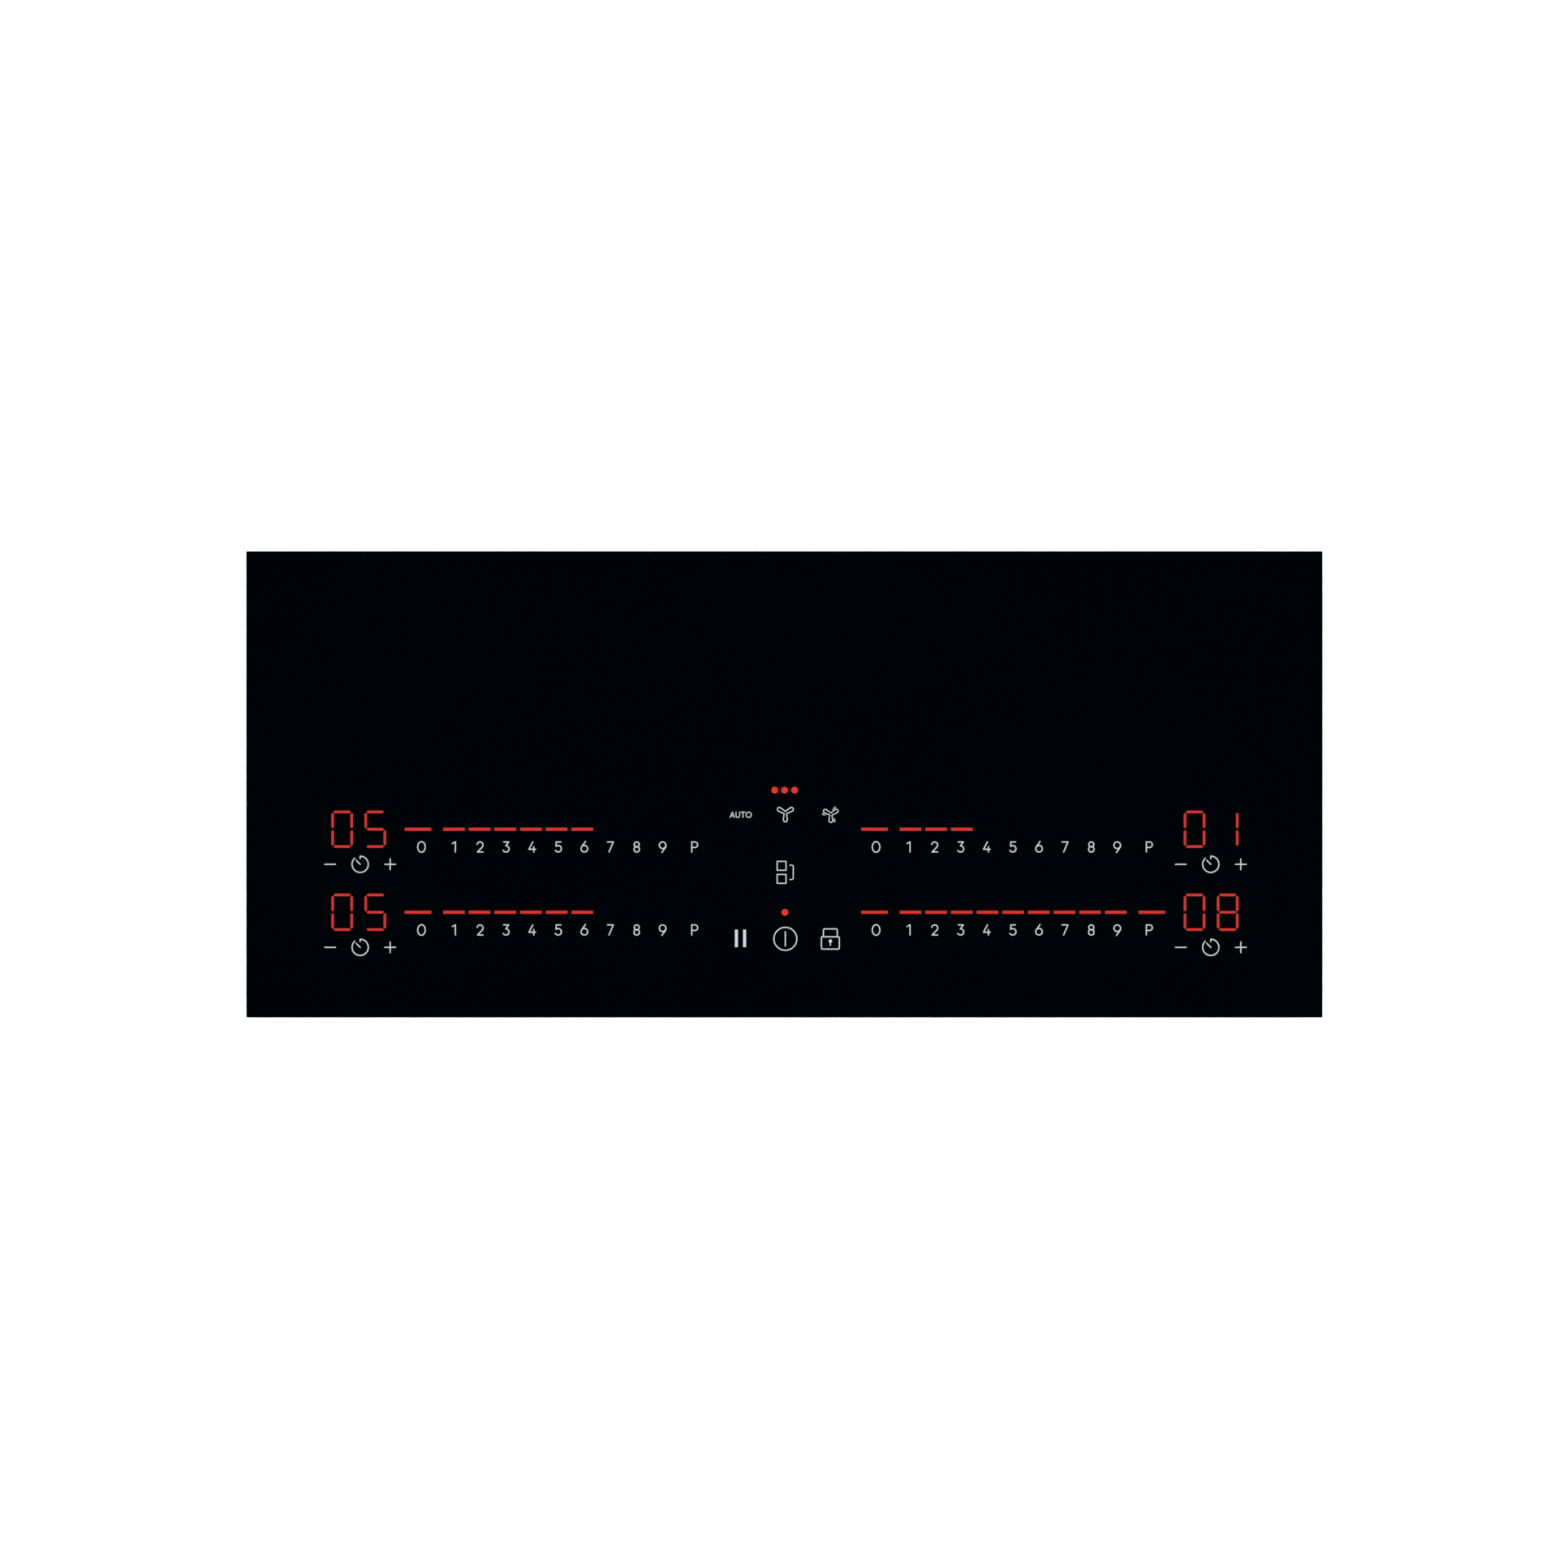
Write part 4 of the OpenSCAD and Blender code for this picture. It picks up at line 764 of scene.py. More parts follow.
side_x = (figure_wide - segment_wide) / 2
side_y = (figure_tall - segment_wide) / 2
SEGMENTS = {
    "a": segment(0, side_y, figure_wide - segment_wide, False),
    "b": segment(side_x, side_y / 2, side_y, True),
    "c": segment(side_x, -side_y / 2, side_y, True),
    "d": segment(0, -side_y, figure_wide - segment_wide, False),
    "e": segment(-side_x, -side_y / 2, side_y, True),
    "f": segment(-side_x, side_y / 2, side_y, True),
    "g": segment(0, 0, figure_wide - segment_wide, False),
}
lit_segments = []
for side in (0, 1):
    for row in (0, 1):
        for i, figure in enumerate(shown[side][row]):
            x = figure_x[side] + (i - 0.5) * figure_step
            for key in LIT_SEGMENTS[figure]:
                (dx, dy), outline = SEGMENTS[key]
                lit_segments.append((((x + dx) * MM, rows[row] + (dy - figure_drop) * MM), outline))
windows("lit_figure_windows", lit_segments, red_light, "lit_figures")


# %% [markdown]
# ## Geometry Nodes for what repeats or follows a path
#
# Windings, wires, screw heads and tiny board components follow a rule, so a tree of geometry
# nodes makes each of them from a few named sizes. The tree is built here, run once on a
# small starting mesh, and its result is kept as a plain mesh.

# %% Build a tree and run it
def new_tree(name, **sizes):
    tree = bpy.data.node_groups.new(name, "GeometryNodeTree")
    tree.interface.new_socket("Geometry", in_out="INPUT", socket_type="NodeSocketGeometry")
    kinds = {int: "NodeSocketInt", float: "NodeSocketFloat", tuple: "NodeSocketVector"}
    for label, value in sizes.items():
        label = label.replace("_", " ").capitalize()
        socket = tree.interface.new_socket(label, in_out="INPUT", socket_type=kinds[type(value)])
        socket.default_value = value
    tree.interface.new_socket("Finish", in_out="INPUT", socket_type="NodeSocketMaterial")
    tree.interface.new_socket("Geometry", in_out="OUTPUT", socket_type="NodeSocketGeometry")
    return tree, tree.nodes.new("NodeGroupInput"), tree.nodes.new("NodeGroupOutput")


def keep_attribute(tree, geometry, name, value):
    mark = tree.nodes.new("GeometryNodeStoreNamedAttribute")
    mark.data_type = "FLOAT"
    mark.domain = "POINT"
    mark.inputs["Name"].default_value = name
    tree.links.new(geometry, mark.inputs["Geometry"])
    tree.links.new(value, mark.inputs["Value"])
    return mark.outputs["Geometry"]


def rounded_corners(tree, curve, radius, steps):
    soft = add(tree, "FilletCurve", {"Curve": curve})
    soft.mode = "POLY"
    soft.inputs["Count"].default_value = steps
    if isinstance(radius, float):
        soft.inputs["Radius"].default_value = radius
    else:
        soft.inputs["Limit Radius"].default_value = True
        tree.links.new(radius, soft.inputs["Radius"])
    return soft.outputs["Curve"]


def turn_about_z(tree, angle):
    upright = add(tree, "ShaderNodeCombineXYZ", {"Z": angle})
    turn = tree.nodes.new("FunctionNodeEulerToRotation")
    tree.links.new(upright.outputs[0], turn.inputs[0])
    return turn.outputs[0]


def tree_end(tree, start, end, geometry, smooth=True):
    real = add(tree, "RealizeInstances", {"Geometry": geometry})
    shade = add(tree, "SetShadeSmooth", {"Geometry": real.outputs[0]}, Shade_Smooth=smooth)
    paint = add(tree, "SetMaterial",
                {"Geometry": shade.outputs[0], "Material": start.outputs["Finish"]})
    tree.links.new(paint.outputs[0], end.inputs["Geometry"])


def grow(name, tree, mat, seed_mesh=None, body="hob", **sizes):
    """Runs a tree and keeps its result as a plain mesh on a body."""
    holder = bpy.data.objects.new(name + "_maker", seed_mesh or bpy.data.meshes.new(name + "_seed"))
    bpy.context.collection.objects.link(holder)
    maker = holder.modifiers.new("maker", "NODES")
    maker.node_group = tree
    wanted = {label.replace("_", " ").capitalize(): value for label, value in sizes.items()}
    wanted["Finish"] = mat
    for item in tree.interface.items_tree:
        if item.item_type == "SOCKET" and item.in_out == "INPUT" and item.name in wanted:
            maker[item.identifier] = wanted[item.name]
    bpy.context.view_layer.update()
    shaped = holder.evaluated_get(bpy.context.evaluated_depsgraph_get())
    mesh = bpy.data.meshes.new_from_object(shaped)
    bpy.data.objects.remove(holder)
    mesh.name = name
    return place(name, mesh, body)


# %% [markdown]
# ## Litz windings
#
# An induction coil is a flat spiral of litz, a rope of many thin enamelled wires. The inner
# and outer bands are separate spirals joined in series. A Spiral curve swept by a small
# circle gives the exact shape, and two attributes, the length along the wire and the turn
# round it, let the finish draw the twisted strands at any bend, with painted shade in the
# grooves between them.

# %% Sweep two spirals per coil
def litz_winding_tree():
    tree, start, end = new_tree("Litz winding", inner_turns=6.0, inner_radius=0.02,
                                outer_turns=10.0, outer_radius=0.04, pitch=0.0028,
                                wire_radius=0.0014, centre=(0.0, 0.0, 0.0))
    rope = add(tree, "CurvePrimitiveCircle", {"Radius": start.outputs["Wire radius"]}, Resolution=10)
    round_it = add(tree, "SplineParameter")
    rope = keep_attribute(tree, rope.outputs["Curve"], "around", round_it.outputs["Factor"])
    join = tree.nodes.new("GeometryNodeJoinGeometry")
    for band, points in (("Inner", 44), ("Outer", 64)):
        wide = reckon(tree, "MULTIPLY_ADD", start.outputs[band + " turns"], start.outputs["Pitch"],
                      start.outputs[band + " radius"])
        spiral = add(tree, "CurveSpiral", {"Rotations": start.outputs[band + " turns"],
                                           "Start Radius": start.outputs[band + " radius"],
                                           "End Radius": wide}, Resolution=points, Height=0.0)
        run = add(tree, "SplineParameter")
        path = keep_attribute(tree, spiral.outputs["Curve"], "along", run.outputs["Length"])
        sweep = add(tree, "CurveToMesh", {"Curve": path, "Profile Curve": rope}, Fill_Caps=True)
        tree.links.new(sweep.outputs["Mesh"], join.inputs[0])
    move = add(tree, "Transform", {"Geometry": join.outputs[0], "Translation": start.outputs["Centre"]})
    tree_end(tree, start, end, move.outputs[0])
    return tree


litz_tree = litz_winding_tree()
litz_pitch, band_gap, inner_rings = 2.8 * MM, 8.6 * MM, 7
for coil in range(1, 5):
    low, high = (Vector(corner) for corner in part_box("coil_winding_%d" % coil))
    thick = (high.z - low.z) / 2
    hub = Vector(((low.x + high.x) / 2, (low.y + high.y) / 2, (low.z + high.z) / 2))
    last = (high.x - low.x) / 2 - thick
    first = 22.4 * MM
    outer_first = first + (inner_rings - 1) * litz_pitch + band_gap
    outer_rings = round((last - outer_first) / litz_pitch)
    winding = grow("litz_winding_%d" % coil, litz_tree, litz_with_painted_groove_shade, inner_turns=float(inner_rings - 1),
                   inner_radius=first, outer_turns=float(outer_rings), outer_radius=outer_first,
                   pitch=litz_pitch, wire_radius=litz_pitch / 2, centre=tuple(hub))
    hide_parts("coil_winding_%d" % coil)
print("winding faces:", len(winding.data.polygons))


# %% [markdown]
# ## Round wires and flat cables
#
# A wire keeps its thickness and bends in smooth arcs. Its route is a short chain of points.
# The tree turns the chain into a curve, rounds the corners, and sweeps a circle along it. A
# flat cable is many such wires side by side, so the same sweep is repeated along a line.

# %% A tree for wires and flat cables
def cable_tree():
    tree, start, end = new_tree("Cable", wire_radius=0.001, bend=0.003, ways=1, step=(0.0, 0.0, 0.0))
    route = add(tree, "MeshToCurve", {"Mesh": start.outputs["Geometry"]})
    soft = rounded_corners(tree, route.outputs["Curve"], start.outputs["Bend"], 7)
    around = add(tree, "CurvePrimitiveCircle", {"Radius": start.outputs["Wire radius"]}, Resolution=10)
    tube = add(tree, "CurveToMesh", {"Curve": soft, "Profile Curve": around.outputs["Curve"]},
               Fill_Caps=True)
    side = add(tree, "MeshLine", {"Count": start.outputs["Ways"], "Offset": start.outputs["Step"]})
    copies = add(tree, "InstanceOnPoints",
                 {"Points": side.outputs["Mesh"], "Instance": tube.outputs["Mesh"]})
    tree_end(tree, start, end, copies.outputs[0])
    return tree


cable = cable_tree()


def chains(name, routes):
    points, edges = [], []
    for route in routes:
        base = len(points)
        points += [tuple(c * MM for c in point) for point in route]
        edges += [(base + i, base + i + 1) for i in range(len(route) - 1)]
    mesh = bpy.data.meshes.new(name + "_route")
    mesh.from_pydata(points, edges, [])
    return mesh


# %% Routes of the leads, the mains wires and the flat cables
board = [[c / MM for c in corner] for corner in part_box("power_board_right")]
mains_box = [[c / MM for c in corner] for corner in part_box("terminal_box")]
coil_boxes = [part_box("coil_winding_%d" % coil) for coil in (3, 4)]
board_top = board[1][2]


def lead(cx, cy, dx, end_x, end_y, ahead, plate, sheet_low):
    x, z = cx + dx, sheet_low - 2.7
    return [(x, cy, plate), (x, cy, sheet_low + 0.2), (x + 3, cy + ahead, z),
            (end_x - 15, end_y - 11 + ahead, z), (end_x, end_y - 2, z), (end_x, end_y, z - 3.3),
            (end_x, end_y, board_top + 8)]


plate_low = 46.5
sheet_low = 34.0
right_leads = []
for n, box in enumerate(coil_boxes):
    cx, cy = (box[0][0] + box[1][0]) / 2 / MM, (box[0][1] + box[1][1]) / 2 / MM
    end_x, end_y = board[0][0] + 15 + n * 180, board[1][1] - 7
    right_leads.append(lead(cx, cy, -12, end_x, end_y, 9, plate_low, sheet_low))
    right_leads.append(lead(cx, cy, 12, end_x + 20, end_y, 1, plate_low, sheet_low))
left_leads = [[(-x, y, z) for x, y, z in route] for route in right_leads]
leads = grow("coil_lead_wires", cable, silicone_red, chains("leads", right_leads + left_leads),
             wire_radius=1.45 * MM, bend=3.5 * MM)
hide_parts("wiring")

box_x = (mains_box[0][0] + mains_box[1][0]) / 2
box_y = mains_box[0][1]
filter_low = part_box("filter_board")[0][1] / MM
mains_colours = {
    "brown": (0.12, 0.045, 0.02), "blue": (0.02, 0.06, 0.3), "green_yellow": (0.3, 0.42, 0.04)}
for n, (colour, tone) in enumerate(mains_colours.items()):
    x, y, z = box_x - 12 + 12 * n, box_y - 3 - 2.8 * n, 24.4 - 3.2 * n
    end_x, end_y = 18 * n - 26, filter_low + 91
    route = [(x, box_y + 22, 17), (x, box_y + 3, 17), (x, y + 1, 18), (x - 4, y, z), (end_x + 6, y, z),
             (end_x, end_y, z - 1), (end_x, end_y, board_top + 7)]
    dark_tone = tuple(c * 0.8 for c in tone)
    sleeve = finish("mains_wire_" + colour, GRAIN, dark_tone, tone, (0.4, 0.55), 0.15,
                    scale=1500, blotch_scale=120)
    wire = grow("mains_wire_" + colour, cable, sleeve, chains("mains", [route]), wire_radius=1.15 * MM,
                bend=3.0 * MM)
    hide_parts("wiring")

# %% Flat cables from the control board down to the power boards
flat = [[c / MM for c in corner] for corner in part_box("ribbon_cables")]
ribbon_width, ways = 20.0, 24
board_end = flat[0][1]
ribbon_low = flat[0][2]
top_z = flat[1][2]
ribbon_x = flat[1][0] - ribbon_width / 2
routes = []
for side in (-1, 1):
    first_x = side * ribbon_x - ribbon_width / 2 + ribbon_width / ways / 2
    y0, y1 = board_end + 0.4, flat[1][1] - 0.4
    climb = [(y0, ribbon_low), (y0, ribbon_low + 13.5), (y0 + 1.5, ribbon_low + 15),
             (y1 - 1.5, ribbon_low + 17), (y1, ribbon_low + 19), (y1, top_z)]
    routes.append([(first_x, y, z) for y, z in climb])
ribbon = grow("flat_cables", cable, ribbon_plastic, chains("ribbon", routes),
              wire_radius=0.42 * MM, bend=1.2 * MM, ways=ways,
              step=(ribbon_width / ways * MM, 0.0, 0.0))
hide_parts("ribbon_cables")
print("cable faces:", len(leads.data.polygons), len(ribbon.data.polygons))


# %% [markdown]
# ## Screws
#
# Twelve sheet-metal screws hold the glass's frame to the tray's walls. One screw is a turned
# profile: a domed head, an edge, and a plain shank. Its cross recess is cut by two bars. The
# tree puts a copy at each point and turns it by the point's own angle.

# %% One screw as a turned shape with a cross cut into it
def turned_shape(name, profile, steps=24):
    """profile: (radius, height) from the top's middle to the bottom's middle, in mm."""
    points, faces = [], []
    rings = profile[1:-1]
    points.append((0, 0, profile[0][1] * MM))
    for radius, height in rings:
        for k in range(steps):
            angle = math.tau * k / steps
            points.append((radius * MM * math.cos(angle), radius * MM * math.sin(angle), height * MM))
    points.append((0, 0, profile[-1][1] * MM))
    for k in range(steps):
        j = (k + 1) % steps
        faces.append((0, 1 + k, 1 + j))
        for r in range(len(rings) - 1):
            a, b = 1 + r * steps, 1 + (r + 1) * steps
            faces.append((a + k, b + k, b + j, a + j))
        last = 1 + (len(rings) - 1) * steps
        faces.append((last + k, len(points) - 1, last + j))
    return mesh_of(name, points, faces)


screw_profile = [(0, 2.38), (1.4, 2.36), (2.6, 2.15), (3.4, 1.7), (3.85, 1.0), (3.98, 0.4), (3.9, 0.02),
                 (1.9, 0.0), (1.9, -3.6), (1.5, -3.95), (0, -3.95)]
screw_mesh = turned_shape("pan_head_screw", screw_profile)
screw_piece = bpy.data.objects.new("screw_template", screw_mesh)


def screw_tree():
    tree, start, end = new_tree("Wall screws", recess_depth=0.0016)
    info = tree.nodes.new("GeometryNodeObjectInfo")
    info.inputs["Object"].default_value = screw_piece
    cuts = tree.nodes.new("GeometryNodeJoinGeometry")
    for long, wide in ((0.0042, 0.0009), (0.0009, 0.0042)):
        bar = add(tree, "MeshCube", Size=(long, wide, 0.0032))
        lift = add(tree, "Transform", {"Geometry": bar.outputs["Mesh"]}, Translation=(0, 0, 0.0024))
        tree.links.new(lift.outputs[0], cuts.inputs[0])
    cross = add(tree, "MeshBoolean", {"Mesh 1": info.outputs["Geometry"]})
    cross.operation = "DIFFERENCE"
    tree.links.new(cuts.outputs[0], cross.inputs["Mesh 2"])
    turn = tree.nodes.new("GeometryNodeInputNamedAttribute")
    turn.data_type = "FLOAT_VECTOR"
    turn.inputs["Name"].default_value = "turn"
    angle = tree.nodes.new("FunctionNodeEulerToRotation")
    value = next(out for out in turn.outputs if out.enabled and out.name == "Attribute")
    tree.links.new(value, angle.inputs[0])
    copies = add(tree, "InstanceOnPoints",
                 {"Points": start.outputs["Geometry"], "Instance": cross.outputs["Mesh"],
                  "Rotation": angle.outputs[0]})
    tree_end(tree, start, end, copies.outputs[0], False)
    return tree


# %% Put the screws on the walls
quarter = math.pi / 2
screw_z = 40 * MM
long_wall_x, short_wall_y = (-300, -100, 100, 300), (-80, 80)
spots, turns = [], []
for side in (-1, 1):
    for x in long_wall_x:
        spots.append((x * MM, side * tray_high.y, screw_z))
        turns.append((-side * quarter, 0, 0))
    for y in short_wall_y:
        spots.append((side * tray_high.x, y * MM, screw_z))
        turns.append((0, side * quarter, 0))
seats = bpy.data.meshes.new("screw_seats")
seats.from_pydata(spots, [], [])
aim = seats.attributes.new("turn", "FLOAT_VECTOR", "POINT")
for item, value in zip(aim.data, turns):
    item.vector = value
wall_screws = grow("wall_screws", screw_tree(), zinc_plate, seats)
bpy.data.objects.remove(screw_piece)
smooth_curves(wall_screws.data, 30)
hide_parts("screws")
print("wall screws:", len(spots), "with", len(wall_screws.data.polygons), "faces")

# %% [markdown]
# ## Sheet metal and mouldings with softened edges
#
# Pressed, cut and moulded parts never have knife edges, and a thin bright line along each
# edge is what makes them look real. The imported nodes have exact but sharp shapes. So their
# meshes are copied, merged and cleared of flat subdivisions, and a Bevel modifier softens
# every edge.

# %% Copy a node's shape and soften its edges
def solids_of(form):
    """The separate solids of a merged mesh, each as its vertices and its box in mm."""
    seen = set()
    for vert in form.verts:
        if vert in seen:
            continue
        seen.add(vert)
        pile, solid = [vert], []
        while pile:
            one = pile.pop()
            solid.append(one)
            for edge in one.link_edges:
                other = edge.other_vert(one)
                if other not in seen:
                    seen.add(other)
                    pile.append(other)
        low = Vector([min(v.co[i] for v in solid) for i in range(3)]) / MM
        high = Vector([max(v.co[i] for v in solid) for i in range(3)]) / MM
        yield solid, low, high


def softened(name, node, mats, width, body="hob", choose=None):
    """choose(low, high) gives a solid's finish as a number, or None to leave the solid out."""
    form = bmesh.new()
    form.from_mesh(nodes[node].data)
    bmesh.ops.remove_doubles(form, verts=form.verts, dist=2e-6)
    bmesh.ops.dissolve_limit(form, angle_limit=math.radians(0.8), verts=form.verts, edges=form.edges)
    if choose:
        left_out = []
        for solid, low, high in list(solids_of(form)):
            number = choose(low, high)
            if number is None:
                left_out += solid
            else:
                for face in {f for v in solid for f in v.link_faces}:
                    face.material_index = number
        bmesh.ops.delete(form, geom=left_out, context="VERTS")
    mesh = bpy.data.meshes.new(name)
    form.to_mesh(mesh)
    form.free()
    smooth_curves(mesh)
    for mat in mats if isinstance(mats, list) else [mats]:
        mesh.materials.append(mat)
    piece = place(name, mesh, body)
    soft = piece.modifiers.new("soft_edges", "BEVEL")
    soft.width = width * MM
    soft.segments = 2
    soft.limit_method = "ANGLE"
    soft.angle_limit = math.radians(40)
    soft.harden_normals = True
    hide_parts(node)
    return piece


softened("folded_tray", "bottom_tray", galvanised, 0.3)
softened("glass_frame_angle", "glass_frame", zinc_plate, 0.2)
softened("foam_seal", "sealing_strip", closed_foam, 0.5)
softened("silicone_bead", "glass_adhesive", silicone_black, 0.2)
softened("coil_deck_sheet", "coil_deck", sheet_aluminium, 0.25)
softened("terminal_housing", "terminal_box", grey_plastic, 0.25)
softened("terminal_lid", "terminal_cover", grey_plastic, 0.25, "terminal_cover_body")
softened("cable_grommet", "cable_bush", black_rubber, 0.4)
for side in ("left", "right"):
    softened("heatsink_profile_" + side, "heatsink_" + side, extruded_aluminium, 0.2)
    softened("blower_scroll_" + side, "blower_" + side, black_plastic, 0.4)
    softened("blower_wheel_" + side, "impeller_" + side, black_plastic, 0.1,
             "impeller_%s_body" % side)
    for end in ("front", "rear"):
        corner = "%s_%s" % (end, side)
        softened("worktop_clamp_" + corner, "clamp_" + corner, clamp_steel, 0.3,
                 "clamp_%s_body" % corner)

softened("clamp_screws", "screws", zinc_plate, 0.25,
         choose=lambda low, high: 0 if high.z - low.z > 10 else None)
softened("carrier_moulding", "control_carrier", grey_plastic, 0.2)
softened("light_box_mouldings", "light_boxes", black_plastic, 0.3)
softened("terminal_block_moulding", "terminal_block", sensor_ceramic, 0.3)
for coil in range(1, 5):
    softened("coil_former_moulding_%d" % coil, "coil_former_%d" % coil, former_plastic, 0.2)
    softened("ferrite_bars_%d" % coil, "coil_ferrites_%d" % coil, ferrite, 0.3)


# %% [markdown]
# ## What stands on the boards
#
# A power board carries film capacitors, electrolytic cans, relays and ring chokes. The packed
# node has each as a plain solid, and each solid's size tells what it is, so it gets the finish
# of its kind. A ring choke is a core with copper wound round it: a tree puts a loop of wire
# at even steps round the ring.

# %% Sort the components by their size
def is_ring(low, high):
    size = high - low
    return abs(size.x - size.y) < 0.2 and size.x > 28


def power_kind(low, high):
    size = high - low
    if is_ring(low, high):
        return 4
    if abs(size.x - size.y) < 0.2 and size.z > 12:
        return 1                      # a can in its sleeve
    if size.x > 38:
        return 0                      # a large film capacitor
    if size.x > 30:
        return 3                      # a smaller film capacitor
    if size.z > 14:
        return 5                      # a relay
    return 2                          # small cases and terminals


def filter_kind(low, high):
    size = high - low
    if is_ring(low, high):
        return 4
    return 0 if size.x > 26 else 3 if size.z > 12 else 2


KINDS = [yellow_case, black_resin, sensor_ceramic, blue_coating, ferrite, relay_case]
for side in ("left", "right"):
    softened("power_components_" + side, "power_parts_" + side, KINDS, 0.35,
             choose=power_kind)
softened("filter_components", "filter_parts", KINDS, 0.35, choose=filter_kind)


# %% Wind copper round the ring cores
def choke_tree():
    tree, start, end = new_tree("Ring choke", ring_radius=0.011, loop_width=0.009, loop_height=0.014,
                                wire_radius=0.0006, turns=26)
    outline = add(tree, "CurvePrimitiveQuadrilateral", {"Width": start.outputs["Loop width"],
                                                        "Height": start.outputs["Loop height"]})
    soft = rounded_corners(tree, outline.outputs["Curve"], 1.6 * MM, 3)
    around = add(tree, "CurvePrimitiveCircle", {"Radius": start.outputs["Wire radius"]}, Resolution=6)
    loop = add(tree, "CurveToMesh", {"Curve": soft, "Profile Curve": around.outputs["Curve"]})
    stand = add(tree, "Transform", {"Geometry": loop.outputs["Mesh"]}, Rotation=(quarter, 0, 0))
    ring_line = add(tree, "MeshCircle",
                    {"Vertices": start.outputs["Turns"], "Radius": start.outputs["Ring radius"]})
    number = add(tree, "InputIndex")
    share = reckon(tree, "DIVIDE", math.tau, start.outputs["Turns"])
    turn = turn_about_z(tree, reckon(tree, "MULTIPLY", number.outputs[0], share))
    loops = add(tree, "InstanceOnPoints",
                {"Points": ring_line.outputs["Mesh"], "Instance": stand.outputs[0], "Rotation": turn})
    spots = add(tree, "InstanceOnPoints",
                {"Points": start.outputs["Geometry"], "Instance": loops.outputs[0]})
    tree_end(tree, start, end, spots.outputs[0])
    return tree


choke = choke_tree()
for node in ("power_parts_left", "power_parts_right", "filter_parts"):
    form = bmesh.new()
    form.from_mesh(nodes[node].data)
    bmesh.ops.remove_doubles(form, verts=form.verts, dist=2e-6)
    rings = [(low, high) for _, low, high in solids_of(form) if is_ring(low, high)]
    form.free()
    low, high = rings[0]
    outer = (high.x - low.x) / 2
    hole = outer / 2 - 0.5
    centres = bpy.data.meshes.new("choke_spots")
    middles = [tuple((a + b) / 2 * MM for a, b in zip(low, high)) for low, high in rings]
    centres.from_pydata(middles, [], [])
    copper_wire = grow("choke_windings_" + node, choke, choke_copper, centres,
                       ring_radius=(outer + hole) / 2 * MM, loop_width=(outer - hole + 0.2) * MM,
                       loop_height=(high.z - low.z + 0.2) * MM, wire_radius=0.55 * MM, turns=26)
    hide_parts(node)
print("choke windings:", len(copper_wire.data.polygons), "faces on the filter board")


# %% [markdown]
# ## Tiny components
#
# A board is covered with resistors and capacitors no larger than a grain of rice. They
# repeat, so a tree scatters small blocks over a patch with a fixed seed and turns each by a
# whole number of right angles, as a placing machine would.

# %% Scatter them over free patches of the boards
def tiny_parts_tree():
    tree, start, end = new_tree("Tiny components", spacing=0.004, seed=1)
    scatter = tree.nodes.new("GeometryNodeDistributePointsOnFaces")
    scatter.distribute_method = "POISSON"
    scatter.inputs["Density Max"].default_value = 60000
    tree.links.new(start.outputs["Geometry"], scatter.inputs["Mesh"])
    tree.links.new(start.outputs["Spacing"], scatter.inputs["Distance Min"])
    tree.links.new(start.outputs["Seed"], scatter.inputs["Seed"])
    block = add(tree, "MeshCube", Size=(0.002, 0.00125, 0.0008))
    lift = add(tree, "Transform", {"Geometry": block.outputs["Mesh"]}, Translation=(0, 0, 0.00035))
    side = tree.nodes.new("FunctionNodeRandomValue")
    side.data_type = "INT"
    for socket in side.inputs:
        if socket.enabled and socket.name in ("Min", "Max"):
            socket.default_value = 0 if socket.name == "Min" else 3
    tree.links.new(start.outputs["Seed"], side.inputs["Seed"])
    whole = next(out for out in side.outputs if out.enabled)
    turn = turn_about_z(tree, reckon(tree, "MULTIPLY", whole, quarter))
    copies = add(tree, "InstanceOnPoints",
                 {"Points": scatter.outputs["Points"], "Instance": lift.outputs[0], "Rotation": turn})
    tree_end(tree, start, end, copies.outputs[0], False)
    return tree


tiny_parts = tiny_parts_tree()


def patch(name, spots, z):
    points, faces = [], []
    for x0, y0, x1, y1 in spots:
        base = len(points)
        points += [(x * MM, y * MM, z) for x, y in ((x0, y0), (x1, y0), (x1, y1), (x0, y1))]
        faces.append((base, base + 1, base + 2, base + 3))
    return mesh_of(name, points, faces)


bx, by = board[0][0], board[0][1]
right_spots = [(bx + 196, by + 120, bx + 258, by + 180), (bx + 12, by + 27, bx + 18, by + 42),
               (bx + 48, by + 27, bx + 160, by + 42), (bx + 132, by + 74, bx + 196, by + 118)]
left_spots = [(-x1, y0, -x0, y1) for x0, y0, x1, y1 in right_spots]
faces_of_block = 6
tiny_count = 0
for side, spots_mm, seed in (("right", right_spots, 3), ("left", left_spots, 8)):
    grains = grow("tiny_components_" + side, tiny_parts, sensor_ceramic,
                  patch("free_patch", spots_mm, board_top * MM), spacing=4.2 * MM, seed=seed)
    tiny_count += len(grains.data.polygons) // faces_of_block
print("tiny components:", tiny_count)

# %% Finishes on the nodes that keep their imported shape
FINISHES = {
    "stand_offs": brass, "coil_springs": spring_steel, "carrier_springs": spring_steel,
    "mica_discs": mica, "filter_board": solder_mask, "power_board_left": solder_mask,
    "power_board_right": solder_mask, "blower_motors": motor_steel, "control_boards": solder_mask,
    "touch_pads": pad_foam,
}
for coil in range(1, 5):
    FINISHES["pan_sensor_%d" % coil] = sensor_ceramic
for name, mat in FINISHES.items():
    wear(name, mat)
print("finished nodes:", len(FINISHES))

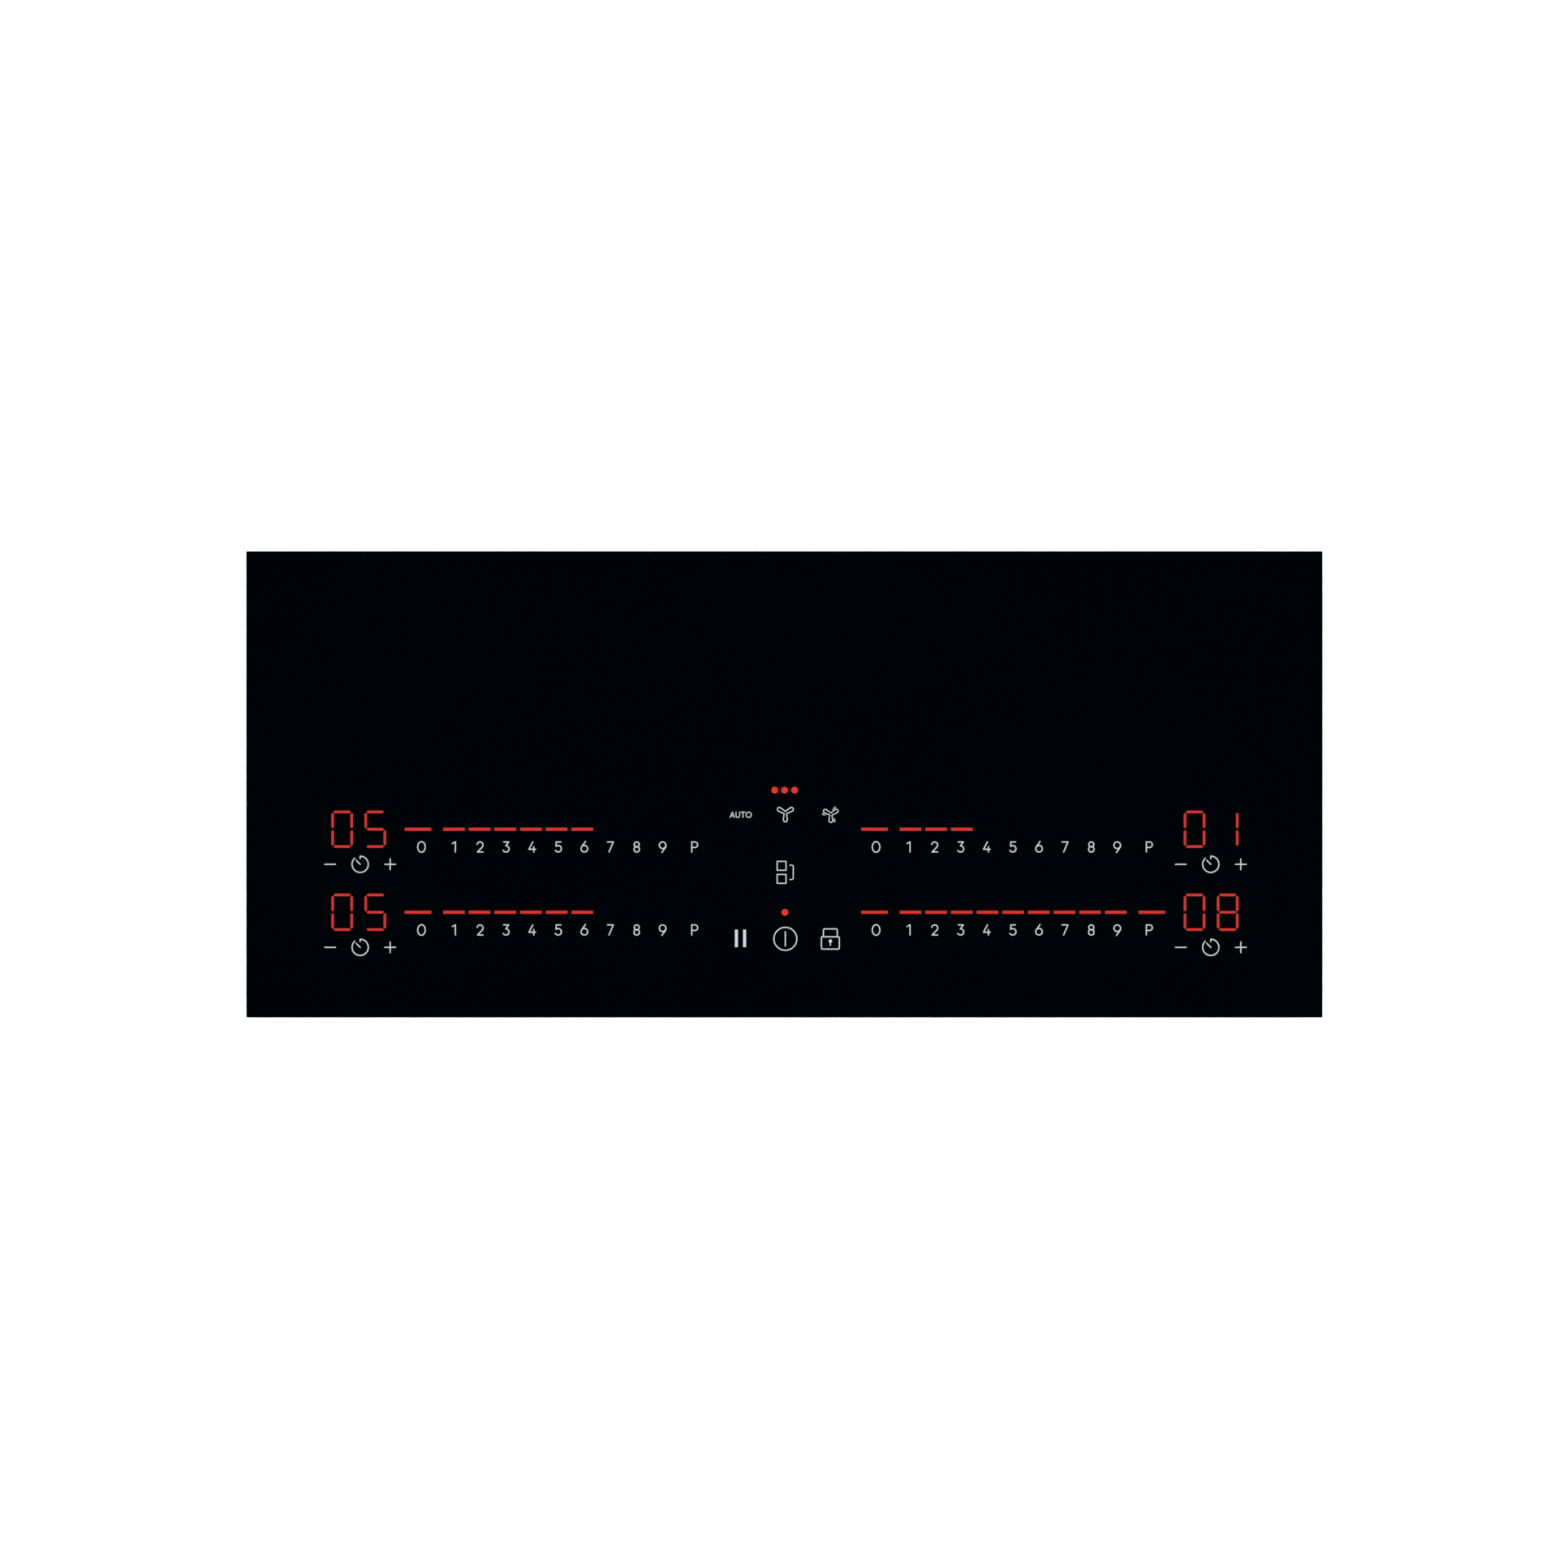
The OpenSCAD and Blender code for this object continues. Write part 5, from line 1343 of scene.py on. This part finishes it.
# %% [markdown]
# ## Stage, light and camera
#
# The hob lies on a white floor. Polished glass shows what is above it, so the sky straight
# overhead is dark and the light comes from the sides, where the print catches it and the
# glass doesn't mirror it. The camera looks straight down from far away with a long lens.

# %% Floor
floor_size = 12.0
floor_corners = [(x * floor_size, y * floor_size, 0) for x, y in ((-1, -1), (1, -1), (1, 1), (-1, 1))]
floor_mesh = mesh_of("floor", floor_corners, [(0, 1, 2, 3)])
floor_mat = bpy.data.materials.new("white_floor")
floor_mat.use_nodes = True
paint = floor_mat.node_tree.nodes["Principled BSDF"]
paint.inputs["Base Color"].default_value = (0.95, 0.95, 0.95, 1)
paint.inputs["Roughness"].default_value = 0.9
paint.inputs["Specular IOR Level"].default_value = 0.1
paint.inputs["Emission Color"].default_value = (1, 1, 1, 1)
paint.inputs["Emission Strength"].default_value = 0.55
floor_mesh.materials.append(floor_mat)
floor = bpy.data.objects.new("floor", floor_mesh)
bpy.context.collection.objects.link(floor)
floor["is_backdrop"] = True

# %% Sky: dark overhead, pale near the horizon
world = bpy.data.worlds.new("studio")
bpy.context.scene.world = world
world.use_nodes = True
sky_tree = world.node_tree
sky_where = sky_tree.nodes.new("ShaderNodeTexCoord")
sky_split = sky_tree.nodes.new("ShaderNodeSeparateXYZ")
sky_ramp = sky_tree.nodes.new("ShaderNodeValToRGB")
sky_ramp.color_ramp.elements[0].position = 0.25
sky_ramp.color_ramp.elements[0].color = (0.9, 0.93, 1.0, 1)
sky_ramp.color_ramp.elements[1].position = 0.85
sky_ramp.color_ramp.elements[1].color = (0.002, 0.002, 0.0025, 1)
sky = sky_tree.nodes["Background"]
sky.inputs["Strength"].default_value = 0.8
sky_tree.links.new(sky_where.outputs["Generated"], sky_split.inputs[0])
sky_tree.links.new(sky_split.outputs["Z"], sky_ramp.inputs["Fac"])
sky_tree.links.new(sky_ramp.outputs["Color"], sky.inputs["Color"])


# %% Lamps at the sides
def sun(name, azimuth, elevation, strength, softness):
    lamp = bpy.data.lights.new(name, "SUN")
    lamp.energy = strength
    lamp.angle = math.radians(softness)
    holder = bpy.data.objects.new(name, lamp)
    bpy.context.collection.objects.link(holder)
    holder.rotation_euler = (0, math.radians(90 - elevation), math.radians(azimuth))
    return holder


for name, azimuth in (("sun_left", 200), ("sun_right", -20), ("sun_rear", 90)):
    sun(name, azimuth, 52, 1.1, 18)

# %% Camera
view_width = 1.3110
lens, sensor = 90.0, 36.0
nudge = 0.00034
eye = bpy.data.cameras.new("camera")
eye.lens = lens
eye.sensor_width = sensor
eye.clip_end = 50
camera = bpy.data.objects.new("camera", eye)
bpy.context.collection.objects.link(camera)
camera.location = (-nudge, nudge, glass_high.z + view_width * lens / sensor)
bpy.context.scene.camera = camera
bpy.context.scene.view_settings.view_transform = "Standard"
bpy.context.scene.view_settings.look = "None"
print("camera %.2f m above the glass" % (camera.location.z - glass_high.z))

# %% Sizes and finish
looks_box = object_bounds()
boxes = {"cad": cad_box, "visual": looks_box}
{name: [list(corner) for corner in box] for name, box in boxes.items()}
print("size:", [round((high - low) / MM, 2) for low, high in zip(*looks_box)], "mm")
